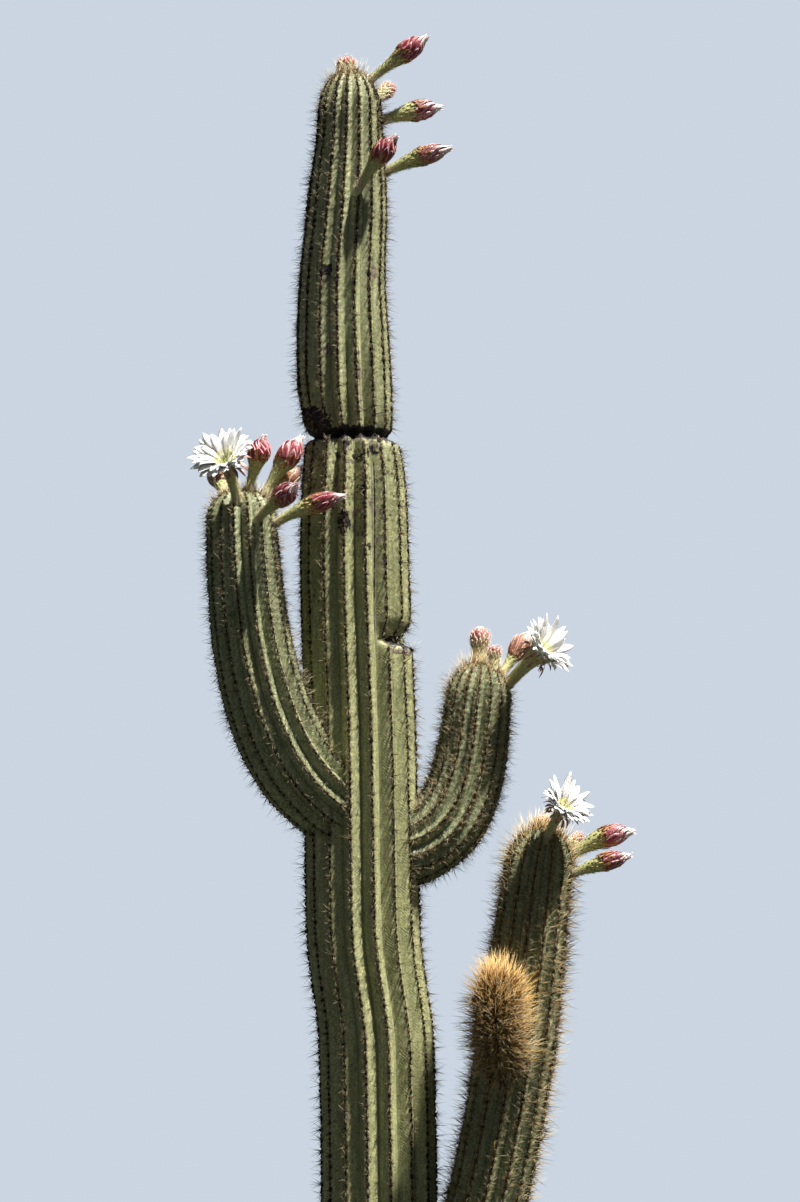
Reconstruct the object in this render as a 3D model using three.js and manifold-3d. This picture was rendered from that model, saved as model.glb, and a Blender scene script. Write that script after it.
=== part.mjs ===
// Cardon cactus: a tall ribbed trunk with two long arms, a third arm that rises from low down,
// a young shoot on that arm, and open flowers and buds round the tips of the stems.
// Lengths are in millimetres and angles in degrees, with +Z up.
// The origin is the centre of the flat cut under the trunk, at ground level.
// +X is to the right of the front view, and the viewer stands on the -Y side.
// A bearing is a compass angle seen from above: 0 is +X, 90 is +Y and -90 is towards the viewer.
import * as THREE from 'three';
import { mergeVertices } from 'three/addons/utils/BufferGeometryUtils.js';
import Module from 'manifold-3d';

const wasm = await Module();
wasm.setup();

// Clearance between pieces that touch
const GAP = 0.3;
// Rib flanks slope, so a stem is grown by more than the gap to clear its neighbours by the gap
const FLANK_ALLOWANCE = 1.5;
const GROW = GAP * FLANK_ALLOWANCE;

// Ribs: depth as a share of the stem's radius, and the section of one rib from crest to crest
const RIB_DEPTH = 0.16;
const RIB_SECTION = [0, 0.45, 1, 0.45];

// Trunk, from the flared foot through a pinched waist to the crown
const TRUNK_HEIGHT = 3885;
const TRUNK_DOME = 144;
const TRUNK_RIBS = 16;
const TRUNK_RING_STEP = 190;
const CORKY_FOOT = 500;
const CORKY_RIB_SHARE = 0.5;
// Height, the centre line's X, the radius over the rib crests, and the bearing of one crest
const TRUNK_STATIONS = [
  [0, 0, 188, 12],
  [130, -1, 167, 12],
  [500, -8, 147, 12],
  [1380, -20, 144, 12],
  [1680, -54, 144, 12],
  [2150, -62, 141, 12],
  [2560, -76, 139, 12],
  [2750, -79, 134, 13],
  [2850, -81, 126, 14],
  [2893, -83, 119, 14],
  [2907, -86, 109, 15],
  [2917, -86, 91, 15],
  [2930, -90, 104, 15],
  [2955, -94, 112, 15],
  [2990, -98, 116, 15],
  [3060, -104, 119, 16],
  [3280, -110, 111, 17],
  [3520, -98, 100, 18],
  [3741, -91, 82, 18],
  [3885, -91, 82, 18],
];

// Notch pinched into the trunk's right side, with a long slope above it and a short one below.
// It fades out sideways over twice its edge, in degrees.
const NOTCH = { height: 2392, above: 34, below: 12, depth: 32, bearing: -18, wide: 42, edge: 8 };

// Arms and the young shoot: each bends along one curve, from inside what carries it to its tip.
// The outward bearing sets the plane that the ribs are counted from.
const LEFT_ARM = {
  curve: [[-70, -5, 1967], [-339, -160, 2054], [-348, -159, 2498], [-357, -159, 2759]],
  outward: 210, ribs: 15, ribTurn: 1.3, footRadius: 107, tipRadius: 86, taper: 0.038, dome: 80,
  split: 0.43, ringStep: 84,
};
const RIGHT_ARM = {
  curve: [[-57, 0, 1868], [238, 41, 1843], [216, 39, 2139], [245, 44, 2345]],
  outward: 8, ribs: 16, ribTurn: 13, footRadius: 96, tipRadius: 82, taper: 0.045, dome: 100,
  split: 0.5, ringStep: 66,
};
const LOW_ARM = {
  curve: [[-10, 0, 674], [300, -109, 638], [333, -137, 1649], [394, -163, 1923]],
  outward: -20, ribs: 14, ribTurn: 0, footRadius: 96, tipRadius: 83, taper: 0.035, dome: 110,
  split: 0.38, ringStep: 92,
};
const YOUNG_SHOOT = {
  curve: [[306, -110, 1306], [282, -215, 1336], [272, -262, 1420], [272, -272, 1566]],
  outward: -100, ribs: 12, ribTurn: 0, footRadius: 46, tipRadius: 54, taper: 0.02, dome: 62,
  ringStep: 60,
};
const DOME_RINGS = 4;
// Steps in which the length of an arm's curve is measured
const CURVE_STEPS = 800;

// Blooms: share of the length against share of the head's radius, from the foot to the tip
const BUD_PROFILE = [
  [0, 0.38], [0.28, 0.42], [0.5, 0.62], [0.64, 0.94], [0.75, 1], [0.87, 0.76], [0.95, 0.34],
];
const YOUNG_BUD_PROFILE = [[0, 0.62], [0.35, 0.82], [0.6, 1], [0.82, 0.8], [0.95, 0.42]];
// An open flower folds back at the petal tips and goes down into its throat
const FLOWER_PROFILE = [
  [0, 0.14], [0.4, 0.17], [0.66, 0.27], [0.84, 0.46], [0.94, 0.8], [0.98, 1],
  [1.02, 0.97], [0.95, 0.55], [0.86, 0.28],
];
const THROAT = 0.76;
const PETAL_SHARE = 0.8;
const PETALS = 12;
const PETAL_NICK = 0.12;
const BUD_SIDES = 8;
const FLOWER_SIDES = 24;
// How far a bloom's foot is carried on into its stem before the stem is cut away from it
const BLOOM_ROOT = 24;
// A bloom that turns less than this for each millimetre, in radians, counts as straight
const LEAST_TURN = 1e-6;

// Where each bloom stands, which way it grows, its rise at the foot and at the tip, and its sizes
const TRUNK_BLOOMS = [
  {
    name: 'trunk_crown_bud', young: true,
    below: 16, bearing: 100, heading: 113, rise: [78, 78], length: 42, head: 44,
  },
  { name: 'trunk_bud_top', below: 47, bearing: -20, heading: -8, rise: [38, 34], length: 178, head: 55 },
  { name: 'trunk_bud_short', below: 86, bearing: 25, heading: 55, rise: [32, 40], length: 88, head: 42 },
  { name: 'trunk_bud_curved', below: 150, bearing: 2, heading: 4, rise: [22, 6], length: 158, head: 55 },
  { name: 'trunk_bud_front', below: 355, bearing: -73, heading: -30, rise: [57, 38], length: 170, head: 55 },
  { name: 'trunk_bud_right', below: 286, bearing: 2, heading: -10, rise: [26, 10], length: 183, head: 51 },
];
const LEFT_BLOOMS = [
  { name: 'left_flower', below: 36, bearing: -93, heading: -106, rise: [48, 34], length: 142, spread: 162 },
  { name: 'left_bud_outer', below: 14, bearing: 150, heading: 105, rise: [44, 44], length: 126, head: 60 },
  { name: 'left_bud_middle', below: 6, bearing: -50, heading: -27, rise: [74, 68], length: 138, head: 56 },
  { name: 'left_bud_tall', below: 20, bearing: 15, heading: 6, rise: [62, 54], length: 180, head: 61 },
  { name: 'left_bud_back', below: 30, bearing: 50, heading: 26, rise: [41, 41], length: 153, head: 50 },
  { name: 'left_bud_front', below: 84, bearing: -59, heading: -46, rise: [28, 22], length: 158, head: 55 },
  { name: 'left_bud_right', below: 93, bearing: -17, heading: -14, rise: [30, 8], length: 191, head: 48 },
];
const RIGHT_BLOOMS = [
  {
    name: 'right_bud_young', young: true,
    below: 3, bearing: 107, heading: 66, rise: [87, 87], length: 95, head: 52,
  },
  {
    name: 'right_bud_small', young: true,
    below: 14, bearing: -40, heading: 88, rise: [80, 80], length: 60, head: 34,
  },
  { name: 'right_bud_open', below: 24, bearing: 20, heading: 38, rise: [48, 52], length: 148, head: 54 },
  { name: 'right_flower', below: 50, bearing: -12, heading: -37, rise: [42, 28], length: 176, spread: 152 },
];
const LOW_BLOOMS = [
  { name: 'low_flower', below: 24, bearing: -84, heading: -50, rise: [56, 38], length: 126, spread: 138 },
  {
    name: 'low_bud_young', young: true,
    below: 22, bearing: 92, heading: 180, rise: [84, 84], length: 48, head: 34,
  },
  { name: 'low_bud_upper', below: 60, bearing: 5, heading: -4, rise: [38, 4], length: 168, head: 56 },
  { name: 'low_bud_lower', below: 104, bearing: -12, heading: -12, rise: [22, 12], length: 152, head: 46 },
  {
    name: 'low_bud_small', young: true,
    below: 48, bearing: 40, heading: 34, rise: [30, 30], length: 72, head: 30,
  },
];

// Colours
const COLOURS = {
  trunk: { color: 0x8f9a5c, roughness: 0.62, metalness: 0 },
  arm: { color: 0x76874f, roughness: 0.62, metalness: 0 },
  shoot: { color: 0xa68a4a, roughness: 0.7, metalness: 0 },
  bud: { color: 0xa6505a, roughness: 0.6, metalness: 0 },
  flower: { color: 0xf2f0e8, roughness: 0.55, metalness: 0 },
};

const radians = THREE.MathUtils.degToRad;

// Unit vector along a compass bearing, turned up by a rise
function direction(bearing, rise = 0) {
  const flat = Math.cos(radians(rise));
  return new THREE.Vector3(
    flat * Math.cos(radians(bearing)),
    flat * Math.sin(radians(bearing)),
    Math.sin(radians(rise)),
  );
}

// Slope of a column between two neighbouring stations
function spanSlope(stations, index, column) {
  const low = stations[index];
  const high = stations[index + 1];
  return (high[column] - low[column]) / (high[0] - low[0]);
}

// Slope at a station: the harmonic mean of the slopes on its two sides, and nought at a turning point
function stationSlope(stations, index, column) {
  if (index === 0 || index === stations.length - 1) {
    return 0;
  }
  const before = spanSlope(stations, index - 1, column);
  const after = spanSlope(stations, index, column);
  return before * after <= 0 ? 0 : (2 * before * after) / (before + after);
}

// Smooth value of a column at a height: a cubic that never swings past the stations
function smoothBetween(stations, height, column) {
  let index = 0;
  while (index < stations.length - 2 && stations[index + 1][0] < height) {
    index += 1;
  }
  const low = stations[index];
  const high = stations[index + 1];
  const span = high[0] - low[0];
  const t = THREE.MathUtils.clamp((height - low[0]) / span, 0, 1);
  const startSlope = stationSlope(stations, index, column) * span;
  const endSlope = stationSlope(stations, index + 1, column) * span;
  const rise = t * t * (3 - 2 * t);
  return low[column] * (1 - rise) + high[column] * rise
    + startSlope * t * (1 - t) * (1 - t) - endSlope * t * t * (1 - t);
}

// How far the notch cuts in at a height and bearing
function notchDepth(height, bearing) {
  const rise = height - NOTCH.height;
  const up = rise / (rise > 0 ? NOTCH.above : NOTCH.below);
  const turn = THREE.MathUtils.euclideanModulo(bearing - NOTCH.bearing + 180, 360) - 180;
  const round = THREE.MathUtils.smoothstep(NOTCH.wide - Math.abs(turn), -NOTCH.edge, NOTCH.edge);
  return NOTCH.depth * Math.exp(-up * up) * round;
}

// The trunk as a stem: level rings on a centre line that leans
function makeTrunkStem() {
  const notchSteps = [-2 * NOTCH.below, -NOTCH.below, 0, NOTCH.above, 2 * NOTCH.above];
  const notchHeights = notchSteps.map((step) => NOTCH.height + step);
  return {
    length: TRUNK_HEIGHT,
    dome: TRUNK_DOME,
    ribs: TRUNK_RIBS,
    ringStep: TRUNK_RING_STEP,
    marks: [...TRUNK_STATIONS.map((station) => station[0]), ...notchHeights],
    side: direction(90),
    centre: (s) => new THREE.Vector3(smoothBetween(TRUNK_STATIONS, s, 1), 0, s),
    tangent: () => new THREE.Vector3(0, 0, 1),
    radius: (s) => smoothBetween(TRUNK_STATIONS, s, 2),
    crest: (s) => smoothBetween(TRUNK_STATIONS, s, 3),
    ribDepth: (s) => {
      const share = THREE.MathUtils.smoothstep(s, 0, CORKY_FOOT);
      return RIB_DEPTH * THREE.MathUtils.lerp(CORKY_RIB_SHARE, 1, share);
    },
    dent: notchDepth,
  };
}

// An arm as a stem: rings square to its curve, swelling a little from the tip down to its foot
function makeArmStem(arm) {
  const points = arm.curve.map((point) => new THREE.Vector3(...point));
  const curve = new THREE.CubicBezierCurve3(...points);
  curve.arcLengthDivisions = CURVE_STEPS;
  const length = curve.getLength();
  return {
    length,
    dome: arm.dome,
    ribs: arm.ribs,
    ringStep: arm.ringStep,
    marks: [0, length - arm.dome],
    side: direction(arm.outward + 90),
    centre: (s) => curve.getPointAt(THREE.MathUtils.clamp(s / length, 0, 1)),
    tangent: (s) => curve.getTangentAt(THREE.MathUtils.clamp(s / length, 0, 1)),
    radius: (s) => Math.min(arm.footRadius, arm.tipRadius + arm.taper * (length - arm.dome - s)),
    crest: () => arm.ribTurn,
    ribDepth: () => RIB_DEPTH,
    dent: () => 0,
  };
}

// How far up the dome at the tip a place is: nought at its foot and one at its top
function domeShare(stem, s) {
  return THREE.MathUtils.clamp(1 - (stem.length - s) / stem.dome, 0, 1);
}

// Radius over the crests, rounded off in the dome
function crestRadius(stem, s) {
  const up = domeShare(stem, s);
  return stem.radius(Math.min(s, stem.length - stem.dome)) * Math.sqrt(1 - up * up);
}

// The two directions square to a stem at a place: outward and sideways
function crossAxes(stem, s) {
  const tangent = stem.tangent(s).normalize();
  const outward = new THREE.Vector3().crossVectors(stem.side, tangent).normalize();
  const sideways = new THREE.Vector3().crossVectors(tangent, outward);
  return { tangent, outward, sideways };
}

// One ring of points round a stem, in and out over its ribs
function stemRing(stem, s, grow) {
  const { tangent, outward, sideways } = crossAxes(stem, s);
  const centre = stem.centre(s).addScaledVector(tangent, grow * domeShare(stem, s));
  const crest = crestRadius(stem, s);
  const columns = stem.ribs * RIB_SECTION.length;
  const ring = [];
  for (let column = 0; column < columns; column += 1) {
    const angle = stem.crest(s) + (360 * column) / columns;
    const groove = RIB_SECTION[column % RIB_SECTION.length] * stem.ribDepth(s);
    const radius = crest * (1 - groove) - stem.dent(s, angle) + grow;
    ring.push(
      centre.clone()
        .addScaledVector(outward, radius * Math.cos(radians(angle)))
        .addScaledVector(sideways, radius * Math.sin(radians(angle))),
    );
  }
  return ring;
}

// Places of the rings along a stem: its marks, with no span longer than its ring step
function ringPlaces(stem, from, to) {
  const bodyEnd = Math.min(to, stem.length - stem.dome);
  const inside = stem.marks.filter((mark) => mark > from && mark < bodyEnd);
  const marks = [from, ...inside, bodyEnd].sort((a, b) => a - b);
  const places = [from];
  for (let index = 1; index < marks.length; index += 1) {
    const span = marks[index] - marks[index - 1];
    const steps = Math.max(1, Math.ceil(span / stem.ringStep));
    for (let step = 1; step <= steps; step += 1) {
      places.push(marks[index - 1] + (span * step) / steps);
    }
  }
  for (let ring = 1; ring < DOME_RINGS && to >= stem.length; ring += 1) {
    const up = Math.sin(radians((90 * ring) / DOME_RINGS));
    places.push(stem.length - stem.dome * (1 - up));
  }
  return places;
}

// A closed body through rings of points, with a middle point that closes each end
function bodyThrough(rings, first, last) {
  const columns = rings[0].length;
  const points = [first, ...rings.flat(), last];
  const end = points.length - 1;
  const indices = [];
  for (let column = 0; column < columns; column += 1) {
    const next = (column + 1) % columns;
    indices.push(0, 1 + next, 1 + column);
    for (let ring = 0; ring < rings.length - 1; ring += 1) {
      const low = 1 + ring * columns;
      const high = low + columns;
      indices.push(low + column, low + next, high + next);
      indices.push(low + column, high + next, high + column);
    }
    indices.push(end, end - columns + column, end - columns + next);
  }
  const geometry = new THREE.BufferGeometry();
  const numbers = points.flatMap((point) => point.toArray());
  geometry.setAttribute('position', new THREE.Float32BufferAttribute(numbers, 3));
  geometry.setIndex(indices);
  return geometry;
}

// A stretch of a stem: flat where it is cut across, domed where it reaches the tip.
// The grown one is that much fatter and longer all round.
function stemGeometry(stem, from, to, grow = 0) {
  const rings = ringPlaces(stem, from, to).map((s) => stemRing(stem, s, grow));
  const last = stem.centre(to).addScaledVector(stem.tangent(to), grow * domeShare(stem, to));
  return bodyThrough(rings, stem.centre(from), last);
}

// Solids for cutting
function toSolid(geometry) {
  const merged = mergeVertices(geometry);
  return new wasm.Manifold(new wasm.Mesh({
    numProp: 3,
    vertProperties: merged.getAttribute('position').array,
    triVerts: new Uint32Array(merged.getIndex().array),
  }));
}

// The largest piece that is left of a body once what carries it, a little grown, is cut away
function cutClear(geometry, grownCarrier) {
  const left = toSolid(geometry).subtract(grownCarrier);
  const pieces = left.decompose().sort((a, b) => b.volume() - a.volume());
  const mesh = pieces[0].getMesh();
  const result = new THREE.BufferGeometry();
  result.setAttribute('position', new THREE.BufferAttribute(mesh.vertProperties, 3));
  result.setIndex(new THREE.BufferAttribute(mesh.triVerts, 1));
  return result;
}

// Point on a stem's crests, below its tip and on a compass bearing
function pointOnStem(stem, below, bearing) {
  const s = stem.length - below;
  const { tangent } = crossAxes(stem, s);
  const away = direction(bearing).projectOnPlane(tangent).normalize();
  return stem.centre(s).addScaledVector(away, crestRadius(stem, s));
}

// A bloom's axis: one upright arc, with its place and slope at a distance from the foot
function bloomAxis(bloom, foot) {
  const [startRise, endRise] = bloom.rise.map(radians);
  const turn = (endRise - startRise) / bloom.length;
  const flat = direction(bloom.heading);
  return (along) => {
    const rise = startRise + turn * along;
    const straight = Math.abs(turn) < LEAST_TURN;
    const across = straight ? along * Math.cos(rise) : (Math.sin(rise) - Math.sin(startRise)) / turn;
    const up = straight ? along * Math.sin(rise) : (Math.cos(startRise) - Math.cos(rise)) / turn;
    const centre = foot.clone().addScaledVector(flat, across);
    centre.z += up;
    return { centre, tangent: direction(bloom.heading, THREE.MathUtils.radToDeg(rise)) };
  };
}

// A ring round a bloom's axis, nicked between the petals near the rim of an open flower
function bloomRing(bloom, axis, along, share) {
  const { centre, tangent } = axis(along);
  const sideways = direction(bloom.heading + 90);
  const outward = new THREE.Vector3().crossVectors(sideways, tangent);
  const sides = bloom.spread ? FLOWER_SIDES : BUD_SIDES;
  const fullRadius = (bloom.spread ?? bloom.head) / 2;
  const ring = [];
  for (let side = 0; side < sides; side += 1) {
    const angle = (2 * Math.PI * side) / sides;
    const nicked = bloom.spread && share >= PETAL_SHARE;
    const nick = nicked ? PETAL_NICK * (0.5 - 0.5 * Math.cos(PETALS * angle)) : 0;
    const radius = fullRadius * share * (1 - nick);
    ring.push(
      centre.clone()
        .addScaledVector(outward, radius * Math.cos(angle))
        .addScaledVector(sideways, radius * Math.sin(angle)),
    );
  }
  return ring;
}

// A bud or an open flower, from inside its stem to its tip
function bloomGeometry(bloom, stem) {
  const foot = pointOnStem(stem, bloom.below, bloom.bearing);
  const axis = bloomAxis(bloom, foot);
  const budProfile = bloom.young ? YOUNG_BUD_PROFILE : BUD_PROFILE;
  const profile = bloom.spread ? FLOWER_PROFILE : budProfile;
  const rings = [bloomRing(bloom, axis, -BLOOM_ROOT, profile[0][1])];
  profile.forEach(([share, width]) => {
    rings.push(bloomRing(bloom, axis, share * bloom.length, width));
  });
  const end = bloom.spread ? THROAT * bloom.length : bloom.length;
  return bodyThrough(rings, axis(-BLOOM_ROOT).centre, axis(end).centre);
}

// Assembly
const cactus = new THREE.Group();
cactus.name = 'cardon_cactus';

function addMesh(name, geometry, colours) {
  geometry.computeVertexNormals();
  const mesh = new THREE.Mesh(geometry, new THREE.MeshStandardMaterial(colours));
  mesh.name = name;
  cactus.add(mesh);
}

// The grown copy of a stretch of stem, for cutting what grows out of it
function grownSolid(stem, from, to) {
  return toSolid(stemGeometry(stem, from, to, GROW));
}

// The blooms of one stem, each foot cut clear of the stem
function addBlooms(blooms, stem, grownStem) {
  blooms.forEach((bloom) => {
    const colours = bloom.spread ? COLOURS.flower : COLOURS.bud;
    addMesh(bloom.name, cutClear(bloomGeometry(bloom, stem), grownStem), colours);
  });
}

// The trunk and what grows from it. Returns its grown copy.
function addTrunk() {
  const stem = makeTrunkStem();
  const grownTrunk = grownSolid(stem, 0, stem.length);
  addMesh('trunk', stemGeometry(stem, 0, stem.length), COLOURS.trunk);
  addBlooms(TRUNK_BLOOMS, stem, grownTrunk);
  return grownTrunk;
}

// An arm in two pieces that meet at its bend, its foot cut clear of the trunk, with its blooms.
// Returns the grown copy of its upright piece.
function addArm(name, arm, blooms, grownTrunk) {
  const stem = makeArmStem(arm);
  const bend = stem.length * arm.split;
  const grownUpright = grownSolid(stem, bend + GAP / 2, stem.length);
  const elbow = cutClear(stemGeometry(stem, 0, bend - GAP / 2), grownTrunk);
  addMesh(`${name}_elbow`, elbow, COLOURS.arm);
  addMesh(`${name}_upright`, stemGeometry(stem, bend + GAP / 2, stem.length), COLOURS.arm);
  addBlooms(blooms, stem, grownUpright);
  return grownUpright;
}

const grownTrunk = addTrunk();
addArm('left_arm', LEFT_ARM, LEFT_BLOOMS, grownTrunk);
addArm('right_arm', RIGHT_ARM, RIGHT_BLOOMS, grownTrunk);
const grownLowArm = addArm('low_arm', LOW_ARM, LOW_BLOOMS, grownTrunk);
const shootStem = makeArmStem(YOUNG_SHOOT);
const shoot = cutClear(stemGeometry(shootStem, 0, shootStem.length), grownLowArm);
addMesh('young_shoot', shoot, COLOURS.shoot);

export default cactus;
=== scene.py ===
# %% [markdown]
# # Dressing a ribbed column cactus
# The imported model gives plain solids: a trunk, three arms, a young shoot, buds and open flowers.
# This notebook lays the living surface over them: ribbed skin, areoles, spines, scales, petals.
# Every piece is worked out where the solids are, in metres, with +Z up, and it needs no fitting.
# The solids' own measures are repeated below in millimetres, because this file can't read them.

# %% Load the fixed frame
import math

import bpy
import numpy as np
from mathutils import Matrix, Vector


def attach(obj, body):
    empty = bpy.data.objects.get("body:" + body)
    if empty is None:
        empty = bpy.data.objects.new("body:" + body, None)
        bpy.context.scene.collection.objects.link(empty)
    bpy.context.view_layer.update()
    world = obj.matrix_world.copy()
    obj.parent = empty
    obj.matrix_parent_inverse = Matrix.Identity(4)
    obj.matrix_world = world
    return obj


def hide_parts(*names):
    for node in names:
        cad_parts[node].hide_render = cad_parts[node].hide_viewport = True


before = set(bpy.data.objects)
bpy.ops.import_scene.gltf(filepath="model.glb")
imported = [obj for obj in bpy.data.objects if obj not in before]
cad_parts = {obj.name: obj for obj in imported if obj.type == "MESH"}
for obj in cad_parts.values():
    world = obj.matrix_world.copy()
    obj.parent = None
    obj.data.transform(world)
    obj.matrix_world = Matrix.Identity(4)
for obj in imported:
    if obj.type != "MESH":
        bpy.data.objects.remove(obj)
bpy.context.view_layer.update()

SEED = 7
MM = 0.001
TURN = 360.0

# %% [markdown]
# ## Camera
# The plant stands with its foot at the origin, and the viewer stands eight metres off on the -Y
# side, with the eyes 1.6 m above the ground, and looks up a little. A long lens keeps the stems
# upright. The sensor width is the long side of the picture, so the lens is worked out from the
# picture's height in pixels and the focal length in pixels.

# %% Camera
PICTURE_HEIGHT = 1202.0
FOCAL_PIXELS = 3200.0
SENSOR = 36.0
CAMERA_PLACE = (0.0375, -8.0, 1.6)
CAMERA_RISE = 6.401
FARTHEST = 200.0


def add_camera():
    """A camera turned a right angle up from looking down, plus its rise."""
    data = bpy.data.cameras.new("viewer")
    data.sensor_width = SENSOR
    data.lens = SENSOR * FOCAL_PIXELS / PICTURE_HEIGHT
    data.clip_end = FARTHEST
    made = bpy.data.objects.new("viewer", data)
    made.location = CAMERA_PLACE
    made.rotation_euler = (math.radians(90.0 + CAMERA_RISE), 0.0, 0.0)
    bpy.context.scene.collection.objects.link(made)
    bpy.context.scene.camera = made
    return made


camera = add_camera()
print("lens", round(camera.data.lens, 2), "mm")

# %% [markdown]
# ## Whole arrays
# A plant like this has thousands of small parts, so nothing is made one vertex at a time. Each
# helper takes whole arrays: a unit vector for a bearing, an eased step between two values, and a
# smooth curve through a few measured stations.

# %% Array helpers
LATTICE = 64
LATTICE_SHIFT = 500.0


def unit(vectors):
    """Each vector over its own length."""
    return vectors / np.linalg.norm(vectors, axis=-1, keepdims=True)


def ease(value, low, high):
    """Nought below low, one above high, and 3t^2 - 2t^3 between them."""
    t = np.clip((value - low) / (high - low), 0.0, 1.0)
    return t * t * (3.0 - 2.0 * t)


def turned(bearing, start):
    """The turn from one bearing to the other, from -180 to 180 degrees."""
    return (bearing - start + TURN / 2.0) % TURN - TURN / 2.0


def spaced(number, shift=0.0):
    """Angles of that many equal steps round, each moved on by a share of a step."""
    return 2.0 * np.pi * (np.arange(number) + shift) / number


def compass(bearing, rise=0.0):
    """Unit vector: cosine of the rise along the bearing, and sine of the rise upwards."""
    bearing, rise = np.broadcast_arrays(np.radians(bearing), np.radians(rise))
    flat = np.cos(rise)
    return np.stack([flat * np.cos(bearing), flat * np.sin(bearing), np.sin(rise)], -1)


def through(stations, place, column):
    """Cubic through the stations: each slope is the harmonic mean of its two neighbours' slopes,
    and nought at a turning point, so the curve never swings past a station."""
    x, y = stations[:, 0], stations[:, column]
    slope = np.diff(y) / np.diff(x)
    total = slope[:-1] + slope[1:]
    product = slope[:-1] * slope[1:]
    mean = np.where(product > 0, 2.0 * product / np.where(total == 0, 1.0, total), 0.0)
    slopes = np.concatenate([[0.0], mean, [0.0]])
    i = np.clip(np.searchsorted(x, place, side="right") - 1, 0, len(x) - 2)
    span = x[i + 1] - x[i]
    t = np.clip((place - x[i]) / span, 0.0, 1.0)
    part = t * t * (3.0 - 2.0 * t)
    bend = slopes[i] * span * t * (1.0 - t) ** 2 - slopes[i + 1] * span * t * t * (1.0 - t)
    return y[i] * (1.0 - part) + y[i + 1] * part + bend


def lumps(points, cell, seed):
    """Smooth noise from -1 to 1: random numbers on a lattice of that cell size, eased between
    the eight corners round each point."""
    table = np.random.default_rng(seed).uniform(-1.0, 1.0, (LATTICE, LATTICE, LATTICE))
    place = points / cell + LATTICE_SHIFT
    base = np.floor(place).astype(int)
    part = place - base
    part = part * part * (3.0 - 2.0 * part)
    total = np.zeros(points.shape[:-1])
    for corner in range(8):
        step = np.array([corner & 1, (corner >> 1) & 1, corner >> 2])
        at = (base + step) % LATTICE
        weight = np.prod(np.where(step == 1, part, 1.0 - part), axis=-1)
        total += weight * table[at[..., 0], at[..., 1], at[..., 2]]
    return total


print("eased half way", ease(0.5, 0.0, 1.0))

# %% [markdown]
# ## The stems
# Each stem is a centre line with a radius. The trunk's line runs straight up through measured
# stations and leans a little. An arm's line is one cubic curve with four handles, from inside
# what carries it to its tip. Round the line stand the ribs, counted from one crest.

# %% Stem measures
RIB_DEPTH = 0.16
TRUNK_HEIGHT = 3866 * MM
TRUNK_DOME = 125 * MM
TRUNK_RIBS = 16
CORKY_FOOT = 500 * MM
CORKY_RIB_SHARE = 0.5
TOP_RIB_LESS = 0.34
TOP_RIBS = (2.93, 3.30)
# Height, the centre line's X, the radius over the crests, all in mm, and the bearing of a crest
TRUNK_STATIONS = np.array([
    [0, 0, 188, 12], [130, -1, 167, 12], [500, -8, 147, 12], [1380, -20, 144, 12],
    [1680, -54, 144, 12], [2150, -62, 141, 12], [2560, -76, 139, 12], [2750, -79, 134, 13],
    [2844, -81, 126, 14], [2886, -83, 119, 14], [2900, -86, 109, 15], [2910, -86, 91, 15],
    [2923, -90, 104, 15], [2950, -94, 112, 15], [2990, -98, 116, 15], [3060, -104, 119, 16],
    [3280, -110, 111, 17], [3520, -98, 100, 18], [3741, -91, 82, 18], [3885, -91, 82, 18],
]) * [MM, MM, MM, 1.0]
NOTCH = dict(height=2.392, above=0.034, below=0.012, depth=0.032, bearing=-18, wide=42, edge=8)
ARMS = dict(
    left_arm=dict(
        curve=[[-70, -5, 1967], [-339, -160, 2054], [-348, -159, 2498], [-357, -159, 2759]],
        outward=210, ribs=15, rib_turn=1.3, foot=107, tip=86, taper=0.038, dome=80),
    right_arm=dict(
        curve=[[-57, 0, 1868], [238, 41, 1843], [216, 39, 2139], [245, 44, 2345]],
        outward=8, ribs=16, rib_turn=13, foot=96, tip=82, taper=0.045, dome=100),
    low_arm=dict(
        curve=[[-10, 0, 674], [300, -109, 638], [333, -137, 1649], [394, -163, 1923]],
        outward=-20, ribs=14, rib_turn=0, foot=96, tip=83, taper=0.035, dome=110),
    young_shoot=dict(
        curve=[[306, -110, 1306], [282, -215, 1336], [272, -262, 1420], [272, -272, 1566]],
        outward=-100, ribs=12, rib_turn=0, foot=46, tip=54, taper=0.02, dome=62),
)
CURVE_STEPS = 800
print("stations up the trunk", len(TRUNK_STATIONS), "and arms", len(ARMS))

# %% [markdown]
# A stem is kept as a small record of functions: its line, its radius, the bearing of its first
# crest, how deep its ribs are and what is cut from it. Distances run along the line from the
# foot, so the same record serves the straight trunk and the bent arms.

# %% Stem records


def notch_cut(height, bearing):
    """Depth of the pinch in the trunk's right side: a bell curve up and down, eased out sideways."""
    rise = height - NOTCH["height"]
    up = rise / np.where(rise > 0, NOTCH["above"], NOTCH["below"])
    turn = np.abs(turned(bearing, NOTCH["bearing"]))
    round_share = ease(NOTCH["wide"] - turn, -NOTCH["edge"], NOTCH["edge"])
    return NOTCH["depth"] * np.exp(-up * up) * round_share


def trunk_stem():
    """The trunk: level rings on a line through the stations."""
    def line(s):
        centre = np.stack([through(TRUNK_STATIONS, s, 1), 0.0 * s, s], -1)
        return centre, np.broadcast_to([0.0, 0.0, 1.0], centre.shape)

    return dict(
        name="trunk", ribs=TRUNK_RIBS, length=TRUNK_HEIGHT, dome=TRUNK_DOME, line=line,
        side=compass(90.0), radius=lambda s: through(TRUNK_STATIONS, s, 2),
        crest=lambda s: through(TRUNK_STATIONS, s, 3),
        rib_share=lambda s: RIB_DEPTH * (
            CORKY_RIB_SHARE + (1.0 - CORKY_RIB_SHARE) * ease(s, 0.0, CORKY_FOOT)
            - TOP_RIB_LESS * ease(s, *TOP_RIBS)),
        cut=notch_cut,
    )


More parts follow.
